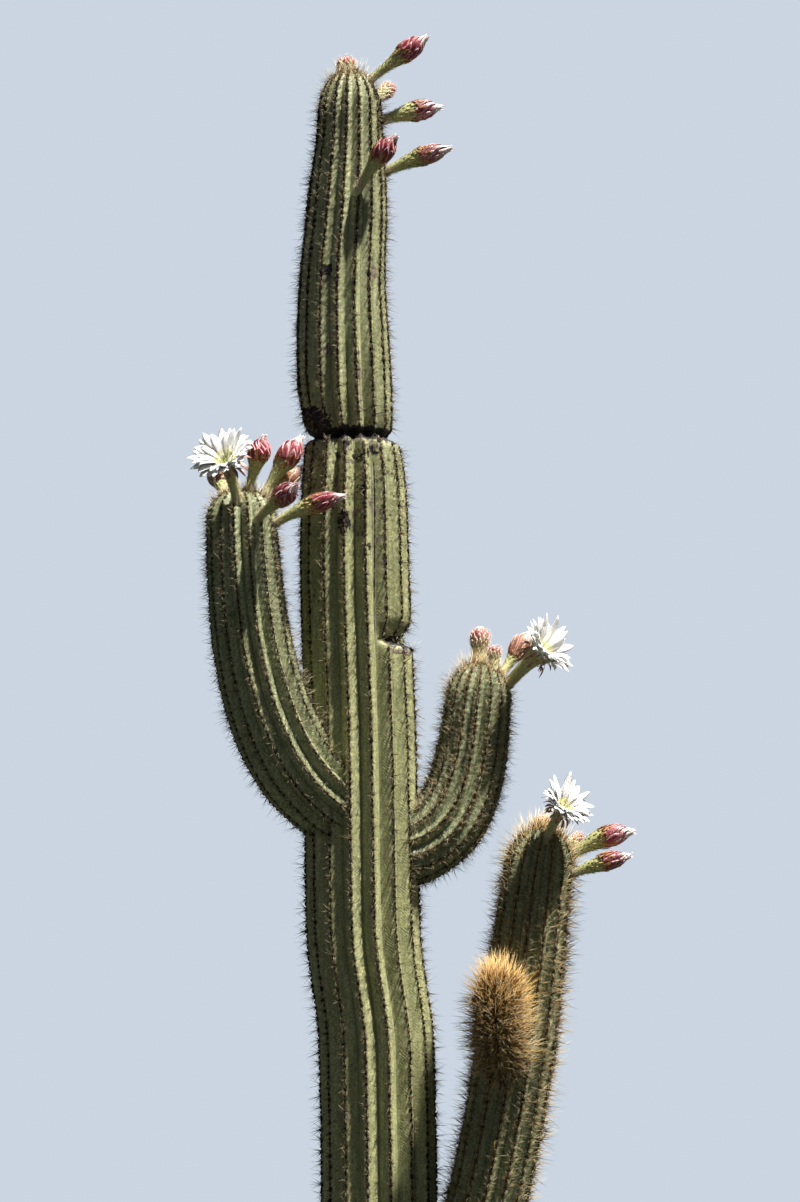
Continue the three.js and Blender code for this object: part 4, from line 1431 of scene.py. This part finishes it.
# On a young bud and on any other tube: how many scales for each metre and how many more, half
# width as a share of the size, and lift of the tip in mm
YOUNG_SCALES, TUBE_SCALES = (520, 40, 0.30, 3.4), (460, 6, 0.27, 2.2)
SCALE_FOOT, SCALE_TOPS, SHOULDER_TOP = 0.05, dict(young=0.84, flower=0.74), 0.60
SCALE_CROWD, SCALE_END, SCALE_STRAY = 0.9, 1.03, 0.1
# Size near the foot, in mm or as a share of the bud, and what it gains on its way up
TUBE_SIZE, TUBE_GAIN = 3.5, 12.0
YOUNG_SIZE, YOUNG_GAIN, YOUNG_SHORT, YOUNG_FULL = 0.10, 0.22, 1.4, 0.7
GAIN_FOOT, RIPE_FOOT, RIPE_GAIN, RIPE_SPREAD = 0.1, 0.15, 0.8, 0.12
SCALE_LANCE, SCALE_CUP, SCALE_LIFT, SCALE_THICK = (0.8, 0.3), 0.25, 0.2 * MM, 0.3 * MM
# Withered scales: how many, where they start, size and lifts in mm, half width, cup and tone
WITHERED, WITHERED_START, WITHERED_SIZES = 30, (0.46, 0.65), (11.0, 20.0)
WITHERED_LIFTS, WITHERED_HALF, WITHERED_CUP, WITHERED_TONES = (1.4, 4.6), 0.17, 0.3, (0.8, 1.4)


def on_body(bloom, start, end, azimuth, twist, lift_low, lift_high, rows):
    """Paths laid on the body from share to share, winding by the twist. The lift goes from its
    low to its high value with the square of the way."""
    t = np.linspace(0.0, 1.0, rows)[None, :]
    share = start[:, None] + (end - start)[:, None] * t
    turn = azimuth[:, None] + twist * t
    radius = bloom_width(bloom, share) * LAID_SHARE + lift_low + (lift_high - lift_low) * t ** 2
    points, radial, tangent = bloom_points(bloom, share, turn, radius)
    return points, radial


def scale_batch(bloom, rng):
    """Pressed scales on the tube, from near the foot to the shoulder."""
    young = bloom["kind"] == "young"
    per_metre, more, half_share, lift = YOUNG_SCALES if young else TUBE_SCALES
    number = int(per_metre * bloom["length"]) + more
    step = np.arange(number)
    top = SCALE_TOPS.get(bloom["kind"], SHOULDER_TOP)
    start = SCALE_FOOT + (top - SCALE_FOOT) * (step / number) ** SCALE_CROWD
    size = (TUBE_SIZE + TUBE_GAIN * ease(start, GAIN_FOOT, top)) * MM
    if young:
        share = YOUNG_SIZE + YOUNG_GAIN * ease(start, GAIN_FOOT, YOUNG_FULL)
        size = share * min(bloom["length"], YOUNG_SHORT * bloom["wide"])
    end = np.minimum(start + size / bloom["length"], SCALE_END)
    azimuth = step * GOLDEN + rng.normal(0, SCALE_STRAY, number)
    paths, normals = on_body(
        bloom, start, end, azimuth, 0.0, SCALE_LIFT, lift * MM, SCALE_ROWS)
    t = np.linspace(0.0, 1.0, SCALE_ROWS)[None, :]
    half = size[:, None] * half_share * lance(t, *SCALE_LANCE)
    points = leaves(paths, normals, half, -half * SCALE_CUP, SCALE_THICK)
    return points, ease(start, RIPE_FOOT, top) * RIPE_GAIN + rng.normal(0.0, RIPE_SPREAD, number)


def withered_batch(bloom, rng):
    """Withered scales round the shoulder, drawn at random and curled away at their tips."""
    start = rng.uniform(*WITHERED_START, WITHERED)
    size = rng.uniform(*WITHERED_SIZES, WITHERED) * MM
    low, high = WITHERED_LIFTS
    paths, normals = on_body(
        bloom, start, start + size / bloom["length"], rng.uniform(0.0, ANY_TURN, WITHERED), 0.0,
        low * MM, high * MM, SCALE_ROWS)
    t = np.linspace(0.0, 1.0, SCALE_ROWS)[None, :]
    half = size[:, None] * WITHERED_HALF * lance(t, *SCALE_LANCE)
    points = leaves(paths, normals, half, half * WITHERED_CUP, SCALE_THICK)
    return points, rng.uniform(*WITHERED_TONES, WITHERED)


print("scales on the longest tube", int(TUBE_SCALES[0] * max(b["length"] for b in blooms)))

# %% [markdown]
# ## Tepals
# On the head of a bud three sets of long tepals overlap and wind round to the tip, crimson down
# the middle with pale edges, and a twist of white inner tips stands out of the end. A bud that is
# opening has straighter and looser ones. They are laid on the body as the scales are, only longer.

# %% Tepals
TEPAL_ROWS = 9
# Sets: number, start and end, half width, twist, lift in mm at the foot and the tip, how pale
BUD_TEPALS = [
    (9, 0.57, 0.80, 0.36, -34.0, 1.4, 2.6, 0.05), (8, 0.60, 0.90, 0.42, -62.0, 0.9, 1.6, 0.0),
    (7, 0.64, 0.96, 0.38, -84.0, 0.4, 1.0, 0.15), (7, 0.87, 1.03, 0.15, -40.0, 0.2, 4.5, 0.9),
]
OPENING_TEPALS = [
    (13, 0.42, 0.84, 0.24, -6.0, 1.0, 6.0, 0.1), (12, 0.54, 0.96, 0.32, -12.0, 0.8, 5.0, 0.3),
    (11, 0.63, 1.02, 0.30, -20.0, 0.4, 4.0, 0.8), (8, 0.78, 1.04, 0.20, -20.0, 0.0, 4.0, 1.0),
]
TEPAL_LANCE, TEPAL_HOLLOW, TEPAL_THICK = (0.75, 0.4, 1.0), 1.9, 0.5 * MM
# How far turn, start, end and tone stray
TEPAL_TURNS, TEPAL_STARTS, TEPAL_ENDS, TEPAL_TONES = 0.18, 0.02, (-0.03, 0.015), 0.08


def tepal_batches(bloom, rng):
    """Sets of tepals on the head, one batch of points and tones for each set."""
    wide = bloom["wide"] / 2.0
    sets = OPENING_TEPALS if bloom["kind"] == "opening" else BUD_TEPALS
    t = np.linspace(0.0, 1.0, TEPAL_ROWS)[None, :]
    for number, start, end, half_share, twist, low, high, pale in sets:
        azimuth = spaced(number, rng.uniform(-TEPAL_TURNS, TEPAL_TURNS, number))
        begin = start + rng.uniform(-TEPAL_STARTS, TEPAL_STARTS, number)
        finish = end + rng.uniform(*TEPAL_ENDS, number)
        paths, normals = on_body(
            bloom, begin, finish, azimuth + rng.uniform(0, ANY_TURN), math.radians(twist),
            low * MM, high * MM, TEPAL_ROWS)
        half = wide * half_share * lance(t, *TEPAL_LANCE) * np.ones((number, 1))
        points = leaves(paths, normals, half, -half * half / (TEPAL_HOLLOW * wide), TEPAL_THICK)
        paler = pale + PALER.get(bloom["name"], 0.0)
        yield points, paler + rng.normal(0.0, TEPAL_TONES, number)


print("tepals on a bud", sum(row[0] for row in BUD_TEPALS))

# %% [markdown]
# The colours follow each leaf: along it, across it, and from leaf to leaf by its tone. Scales go
# from green to brown, tepals from a dark middle to pale edges and tips, and the scales of young
# buds from cream to pink. Noise added to the value across frays the border between two colours.

# %% Bud materials


def scale_material():
    """Green scales that turn brown and red towards the shoulder and the tip of each scale."""
    made, tree, shader = new_material("bud_scale", Roughness=0.6, Specular_IOR_Level=0.25)
    green = patchy(tree, 260.0, 2.0, seen(150, 156, 100), seen(198, 199, 144))
    brown = patchy(tree, 200.0, 2.0, seen(134, 88, 56), seen(202, 162, 112))
    along = rescale(tree, carried(tree, "along"), 0.3, 1.0, 0.0, 0.55)
    ripe = rescale(tree, plus(tree, carried(tree, "tone"), along), 0.45, 1.1)
    colour = blend(tree, ripe, green, brown)
    finish_material(tree, shader, colour, None, mottle(tree, 700.0, 2.0), 0.3, 0.0008)
    return made


def tepal_material(name, middle, edge, tip):
    """A dark middle between pale edges, paler to the tip, with fine lines along it."""
    made, tree, shader = new_material(name, Roughness=0.42, Specular_IOR_Level=0.4)
    along, across, tone = carried(tree, "along"), carried(tree, "across"), carried(tree, "tone")
    fray = stray(tree, 300.0, 3.0, 0.16)
    colour = blend(tree, rescale(tree, plus(tree, across, fray), 0.45, 0.95), middle, edge)
    pale = plus(tree, tone, rescale(tree, along, 0.62, 1.0, 0.0, 0.5))
    colour = blend(tree, rescale(tree, plus(tree, pale, fray), 0.15, 1.15), colour, tip)
    finish_material(tree, shader, colour, None, mottle(tree, 500.0, 2.0), 0.25, 0.0008)
    return made


def young_material():
    """Cream green scales at the foot, pink ones on the head, pale along the edges and tips."""
    made, tree, shader = new_material("young_scale", Roughness=0.6, Specular_IOR_Level=0.25)
    along, across, tone = carried(tree, "along"), carried(tree, "across"), carried(tree, "tone")
    pink = blend(tree, rescale(tree, tone, 0.34, 0.60), seen(198, 194, 152), seen(174, 90, 94))
    rim = rescale(tree, plus(tree, across, stray(tree, 300.0, 3.0, 0.2)), 0.35, 1.0, 0.0, 0.8)
    colour = lay(
        tree, pink, (rim, seen(220, 186, 170)),
        (rescale(tree, along, 0.6, 1.0, 0.0, 0.9), seen(234, 214, 204)))
    finish_material(tree, shader, colour, None, mottle(tree, 600.0, 2.0), 0.25, 0.0008)
    return made


bud_scale, young_scale = scale_material(), young_material()
bud_tepal = tepal_material("bud_tepal", seen(128, 38, 50), seen(218, 158, 162), seen(244, 228, 226))
dull_tepal = tepal_material("dull_tepal", seen(140, 84, 72), seen(222, 190, 154), seen(230, 214, 206))
print("bud materials", bud_scale.name, young_scale.name, bud_tepal.name, dull_tepal.name)

# %% [markdown]
# The blooms are sorted by kind: young buds have woolly pink scales and no tepals yet, ripe buds
# crimson tepals, and buds that open or fade dull brown ones. All scales of one kind are one piece.

# %% Scales and tepals


def of_kinds(*kinds):
    """The blooms of some kinds, in their order."""
    return [bloom for bloom in blooms if bloom["kind"] in kinds]


bud_rng = np.random.default_rng(SEED + 20)
tube_scales = [scale_batch(b, bud_rng) for b in of_kinds("bud", "opening", "pale", "flower")]
tube_scales += [withered_batch(b, bud_rng) for b in of_kinds("bud", "opening", "pale")]
add_leaves("bloom_scales", tube_scales, SCALE_ROWS, bud_scale, "bud")
young_scales = [scale_batch(b, bud_rng) for b in of_kinds("young")]
add_leaves("young_bud_scales", young_scales, SCALE_ROWS, young_scale, "bud")
bud_sets = [batch for b in of_kinds("bud") for batch in tepal_batches(b, bud_rng)]
add_leaves("bud_tepals", bud_sets, TEPAL_ROWS, bud_tepal, "bud")
opening_sets = [batch for b in of_kinds("opening", "pale") for batch in tepal_batches(b, bud_rng)]
add_leaves("opening_tepals", opening_sets, TEPAL_ROWS, dull_tepal, "bud")

# %% [markdown]
# ## Open flowers
# An open flower has four sets of long white petals: the inner ones stand up a little, the next
# two spread nearly flat and the outer ones bend back. Behind them hang narrow sepals, brown and
# purple. Each petal's path is a curve with three handles, given as a radius and a way along the
# flower's axis, turned to its own place round the axis. Random shares keep any two from matching.

# %% Petals
PETAL_ROWS = 10
# Number, half width, twist, and three handles: share of the half spread, share of the length
PETAL_SETS = dict(
    inner=(12, 0.072, 0.08, (0.20, 0.70), (0.42, 0.95), (0.86, 1.04)),
    upper=(14, 0.079, 0.04, (0.24, 0.70), (0.54, 0.94), (0.98, 1.01)),
    middle=(15, 0.078, 0.00, (0.27, 0.70), (0.62, 0.92), (1.06, 0.98)),
    outer=(14, 0.066, -0.05, (0.29, 0.69), (0.67, 0.90), (1.06, 0.93)),
)
SEPAL_SETS = dict(
    near=(13, 0.034, 0.05, (0.30, 0.66), (0.56, 0.80), (0.84, 0.70)),
    far=(12, 0.030, -0.05, (0.28, 0.58), (0.46, 0.66), (0.60, 0.50)),
)
PETAL_LANCE, PETAL_THICK = (0.50, 0.60, 0.8), 0.4 * MM
# How far the tips, their reach, the turn, the tilt, the cup and the tone stray
TIP_STRAY, MIDDLE_STRAY, REACH_STRAY = (0.03, 0.05), 0.5, (-0.12, 0.02)
PETAL_TURNS, BEND_STRAY, TILT_STRAY = 0.22, 0.05, 0.06
PETAL_CUPS, PETAL_TONES = (0.03, 0.14), 0.08
# Tones: the larger, the more blush on the tip
OUTER_TONE, PETAL_TONE, SEPAL_TONE = 0.85, 0.1, 0.5


def petal_batch(bloom, facts, rng, pale):
    """Petals whose path is (1-t)^2 first + 2t(1-t) second + t^2 third handle, with some spread."""
    number, half_share, twist, *handles = facts
    t = np.linspace(0.0, 1.0, PETAL_ROWS)[None, :, None]
    first, second, third = [np.array(handle)[None, None, :] for handle in handles]
    first = first * [bloom["tube"], 1.0]
    shift = rng.normal(0.0, 1.0, (number, 1, 2)) * TIP_STRAY
    third = third * (1.0 + rng.uniform(*REACH_STRAY, (number, 1, 1))) + shift
    second = second + shift * MIDDLE_STRAY
    line = first * (1 - t) ** 2 + 2 * second * t * (1 - t) + third * t ** 2
    radius, share, t = line[..., 0] * bloom["wide"] / 2.0, line[..., 1], t[..., 0]
    azimuth = spaced(number, rng.uniform(-PETAL_TURNS, PETAL_TURNS, number))
    turn = azimuth[:, None] + rng.uniform(0, ANY_TURN) + twist * t ** 2
    turn = turn + rng.normal(0, BEND_STRAY, (number, 1)) * t
    paths, radial, tangent = bloom_points(bloom, share, turn, radius)
    along = unit(np.gradient(paths, axis=1))
    normal = np.cross(np.cross(along, tangent), along)
    normal = normal + TILT_STRAY * rng.normal(0.0, 1.0, (number, 1, 3))
    half = half_share * bloom["wide"] * lance(t, *PETAL_LANCE) * np.ones((number, 1))
    cup = half * rng.uniform(*PETAL_CUPS, (number, 1))
    points = leaves(paths, normal, half, cup, PETAL_THICK)
    return points, np.full(number, pale) + rng.normal(0.0, PETAL_TONES, number)


print("petals on a flower", sum(row[0] for row in PETAL_SETS.values()))

# %% [markdown]
# A real petal lets light through, and a plain white surface looks like paper. Some light is
# therefore scattered under the surface, only a few millimetres deep, so the petals stay crisp.
# A little green at the foot, a faint midrib and a blush on the outer tips keep them from being
# one flat white.

# %% Petal materials


def petal_material():
    """White, with faint lines along it, green at its foot and a blush on the outer tips."""
    made, tree, shader = new_material(
        "petal_white", Roughness=0.5, Specular_IOR_Level=0.2, Subsurface_Weight=1.0,
        Subsurface_Scale=0.004, Subsurface_Radius=(1.0, 1.0, 0.95))
    along, across, tone = carried(tree, "along"), carried(tree, "across"), carried(tree, "tone")
    line = noise(tree, 260.0, 3.0, 0.35, 0.65)
    tipward = rescale(tree, along, 0.55, 1.0, 0.0, 0.8)
    blush = times(tree, rescale(tree, tone, 0.5, 1.0), tipward)
    colour = lay(
        tree, blend(tree, line, seen(234, 234, 232), seen(248, 248, 249)),
        (rescale(tree, along, 0.34, 0.0, 0.0, 0.8), seen(206, 216, 150)),
        (rescale(tree, across, 0.3, 0.0, 0.0, 0.25), seen(232, 234, 214)),
        (blush, seen(232, 188, 180)))
    finish_material(tree, shader, colour, None, line, 0.2, 0.0008)
    return made


def sepal_material():
    """Pinkish brown, with a darker purple tip and paler edges."""
    made, tree, shader = new_material("sepal_brown", Roughness=0.5, Specular_IOR_Level=0.3)
    along, across = carried(tree, "along"), carried(tree, "across")
    brown = blend(tree, rescale(tree, across, 0.5, 1.0), seen(192, 144, 128), seen(236, 208, 196))
    colour = lay(
        tree, brown, (rescale(tree, along, 0.6, 1.0), seen(112, 74, 84)),
        (rescale(tree, along, 0.2, 0.0), seen(150, 122, 84)))
    finish_material(tree, shader, colour, None, mottle(tree, 500.0, 2.0), 0.25, 0.0008)
    return made


petal_white, sepal_brown = petal_material(), sepal_material()
petal_rng = np.random.default_rng(SEED + 40)
petals = [petal_batch(flower, facts, petal_rng, OUTER_TONE if key == "outer" else PETAL_TONE)
          for flower in flowers for key, facts in PETAL_SETS.items()]
add_leaves("petals", petals, PETAL_ROWS, petal_white, "petal")
sepals = [petal_batch(flower, facts, petal_rng, SEPAL_TONE)
          for flower in flowers for facts in SEPAL_SETS.values()]
add_leaves("sepals", sepals, PETAL_ROWS, sepal_brown, "bud")

# %% [markdown]
# ## Stamens and hairs
# A crowd of thin stamens lines the throat, each with a pale anther at its end. Soft hairs stand
# out between the scales of every tube, and so many cover the young buds that they look woolly.
# Stamens and hairs are spikes like the spines, only finer, and an anther is a small closed bead.

# %% Stamens and hairs
STAMENS = 170
# Where a stamen starts and ends, as shares of the length and of the half width. The first number
# is for the middle of the flower, the second what is added towards the rim
START_UP, START_OUT = (0.60, 0.12), 0.24
END_UP, END_OUT = (0.88, -0.06), (0.10, 0.22)
OUT_STRAY, UP_STRAY, TURN_STRAY = 0.03, 0.02, 0.15
STAMEN_RADIUS, HAIR_RADIUS, ANTHER_SIZE = 0.35 * MM, 0.28 * MM, 0.9 * MM
ANTHER_SIDES = 4
ANTHER_RINGS = np.array([[0.7, -0.6], [0.8, 0.5]])
ANTHER_POLE = 1.4
ANY_AXIS = [[0.3, 0.5, 0.8]]
# Hairs of a young bud and of any other tube: how many for each metre, how far up they reach, how
# much they crowd at the foot, and the longest in mm
YOUNG_HAIRS, TUBE_HAIRS = (7000, 0.95, 0.9, 13.0), (2600, 0.62, 2.0, 9.0)
HAIR_SHORTEST, HAIR_SLANTS, HAIR_STRAY = 5.0, (0.25, 1.1), 0.25


def stamen_parts(bloom, rng):
    """Filaments from the throat's wall to a loose dome in the mouth, and where each one ends."""
    turn = rng.uniform(0.0, 2.0 * np.pi, STAMENS)
    out = np.sqrt(rng.uniform(0.1, 1.0, STAMENS))
    root = bloom_points(
        bloom, START_UP[0] + START_UP[1] * out, turn, START_OUT * out * bloom["wide"] / 2.0)[0]
    reach = END_OUT[0] + END_OUT[1] * out + rng.normal(0.0, OUT_STRAY, STAMENS)
    share = END_UP[0] + END_UP[1] * out + rng.normal(0.0, UP_STRAY, STAMENS)
    turn = turn + rng.normal(0, TURN_STRAY, STAMENS)
    end = bloom_points(bloom, share, turn, reach * bloom["wide"] / 2.0)[0]
    way = end - root
    length = np.linalg.norm(way, axis=1)
    return root, way / length[:, None], length, end


def bead_points(centre, way, size):
    """Small closed beads: two rings and two poles, longer along their way."""
    first = unit(np.cross(way, ANY_AXIS))
    flat = circles(first, np.cross(way, first), ANTHER_SIDES)
    rings = [flat * wide * size + way[:, None] * high * size for wide, high in ANTHER_RINGS]
    ring = np.concatenate(rings, axis=1) + centre[:, None]
    pole = way * ANTHER_POLE * size
    return np.concatenate([(centre - pole)[:, None], ring, (centre + pole)[:, None]], axis=1)


def hair_parts(bloom, rng):
    """Hairs on the tube: on young buds many and over all, on old ones few and near the foot."""
    per_metre, top, crowd, longest = YOUNG_HAIRS if bloom["kind"] == "young" else TUBE_HAIRS
    number = int(bloom["length"] * per_metre)
    share = rng.uniform(0.0, top, number) ** crowd
    turn = rng.uniform(0.0, 2.0 * np.pi, number)
    root, radial, tangent = bloom_points(bloom, share, turn, bloom_width(bloom, share))
    slant = rng.uniform(*HAIR_SLANTS, number)[:, None]
    way = unit(radial * slant + tangent + HAIR_STRAY * rng.normal(0.0, 1.0, (number, 3)))
    length = rng.uniform(HAIR_SHORTEST, longest, number) * MM
    return spikes(root, way, length, np.full(number, HAIR_RADIUS)), rng.uniform(0.0, 1.0, number)


def fine_material(name, dark, light, roughness):
    """Fine threads that vary from one to the next and pale towards their ends."""
    made, tree, shader = new_material(name, Roughness=roughness, Specular_IOR_Level=0.2)
    tone, tip = times(tree, carried(tree, "tone"), 0.7), times(tree, carried(tree, "tip"), 0.3)
    finish_material(tree, shader, blend(tree, plus(tree, tone, tip), dark, light))
    return made


stamen_thread = fine_material("stamen_thread", seen(206, 214, 150), seen(244, 240, 208), 0.5)
anther_cream = fine_material("anther_cream", seen(214, 190, 116), seen(240, 226, 170), 0.7)
bud_hair = fine_material("bud_hair", seen(156, 122, 92), seen(242, 230, 210), 0.8)
print("fine materials", stamen_thread.name, anther_cream.name, bud_hair.name)

# %% Stamen and hair meshes
fine_rng = np.random.default_rng(SEED + 60)
stamens = [stamen_parts(flower, fine_rng) for flower in flowers]
threads = [spikes(root, way, length, np.full(STAMENS, STAMEN_RADIUS))
           for root, way, length, end in stamens]
thread_tones = [fine_rng.uniform(0.0, 1.0, STAMENS) for flower in flowers]
add_spikes("stamens", threads, thread_tones, stamen_thread, "petal")
beads = np.concatenate([bead_points(end, way, ANTHER_SIZE) for root, way, length, end in stamens])
bead_tones = np.repeat(fine_rng.uniform(0, 1, len(beads)), beads.shape[1])
make_tubes("anthers", beads, len(ANTHER_RINGS), ANTHER_SIDES, anther_cream, "petal",
           tone=bead_tones, tip=0.0 * bead_tones)
hairs = [hair_parts(bloom, fine_rng) for bloom in blooms]
add_spikes("bloom_hairs", [points for points, tone in hairs], [tone for points, tone in hairs],
           bud_hair, "bud")

# %% [markdown]
# ## Floor and light
# The stage is a plain disc, and the light has two parts: one key from high on the right in front,
# which lights the right flank of each rib and leaves the left one dark, and an even surround that
# fills the shade. Light Path tells what the camera sees from what lights the plant. So the floor
# and the surround look pale, and still throw back only as much light as the shade can take.

# %% Stage
KEY_BEARING, KEY_RISE = -30.0, 66.0
KEY_SIZE, KEY_STRENGTH, KEY_COLOUR = 2.0, 11.1, (1.0, 0.965, 0.9)
FILL_STRENGTH, FILL_COLOUR = 0.125, (0.70, 0.84, 1.0, 1.0)
BACKDROP_STRENGTH, BACKDROP_COLOUR = 0.9, (0.66, 0.74, 0.84, 1.0)
FLOOR_BOUNCE, FLOOR_TONES = (48, 50, 44), ((138, 138, 135), (143, 143, 141))
FLOOR_RADIUS, FLOOR_SIDES = 12.0, 96


def floor_material():
    """Pale paint for the camera, and a darker one for the light that bounces off it."""
    made, tree, shader = new_material("floor_paint", Roughness=0.9)
    pale = patchy(tree, 0.6, 2.0, *[seen(*tone) for tone in FLOOR_TONES], 0.3, 0.7)
    direct = put(tree, "LightPath").outputs["Is Camera Ray"]
    finish_material(tree, shader, blend(tree, direct, seen(*FLOOR_BOUNCE), pale))
    return made


def add_floor():
    """A flat disc at ground level."""
    turn = np.linspace(0.0, 2.0 * np.pi, FLOOR_SIDES, endpoint=False)
    rim = np.stack([np.cos(turn), np.sin(turn), 0.0 * turn], -1) * FLOOR_RADIUS
    mesh = bpy.data.meshes.new("floor")
    mesh.from_pydata(rim.tolist(), [], [list(range(len(rim)))])
    mesh.materials.append(floor_material())
    floor = bpy.data.objects.new("floor", mesh)
    bpy.context.scene.collection.objects.link(floor)


def add_key():
    """A sun whose own Z axis points from the plant towards its place in the sky."""
    data = bpy.data.lights.new("key", "SUN")
    data.energy = KEY_STRENGTH
    data.angle = math.radians(KEY_SIZE)
    data.color = KEY_COLOUR
    key = bpy.data.objects.new("key", data)
    towards = Vector([float(v) for v in compass(KEY_BEARING, KEY_RISE)])
    key.rotation_mode = "QUATERNION"
    key.rotation_quaternion = towards.to_track_quat("Z", "Y")
    bpy.context.scene.collection.objects.link(key)


def add_surround():
    """An even world: a weak one that lights the plant, and a bright one behind it."""
    world = bpy.data.worlds.new("studio")
    world.use_nodes = True
    tree = world.node_tree
    fill = tree.nodes["Background"]
    fill.inputs["Color"].default_value = FILL_COLOUR
    fill.inputs["Strength"].default_value = FILL_STRENGTH
    behind = put(tree, "Background", {"Color": BACKDROP_COLOUR, "Strength": BACKDROP_STRENGTH})
    direct = put(tree, "LightPath").outputs["Is Camera Ray"]
    both = put(tree, "MixShader", {0: direct, 1: fill.outputs[0], 2: behind.outputs[0]})
    tree.links.new(both.outputs[0], tree.nodes["World Output"].inputs["Surface"])
    bpy.context.scene.world = world


add_floor()
add_key()
add_surround()
bpy.context.scene.view_settings.view_transform = "Standard"
print("key from bearing", KEY_BEARING, "rise", KEY_RISE)
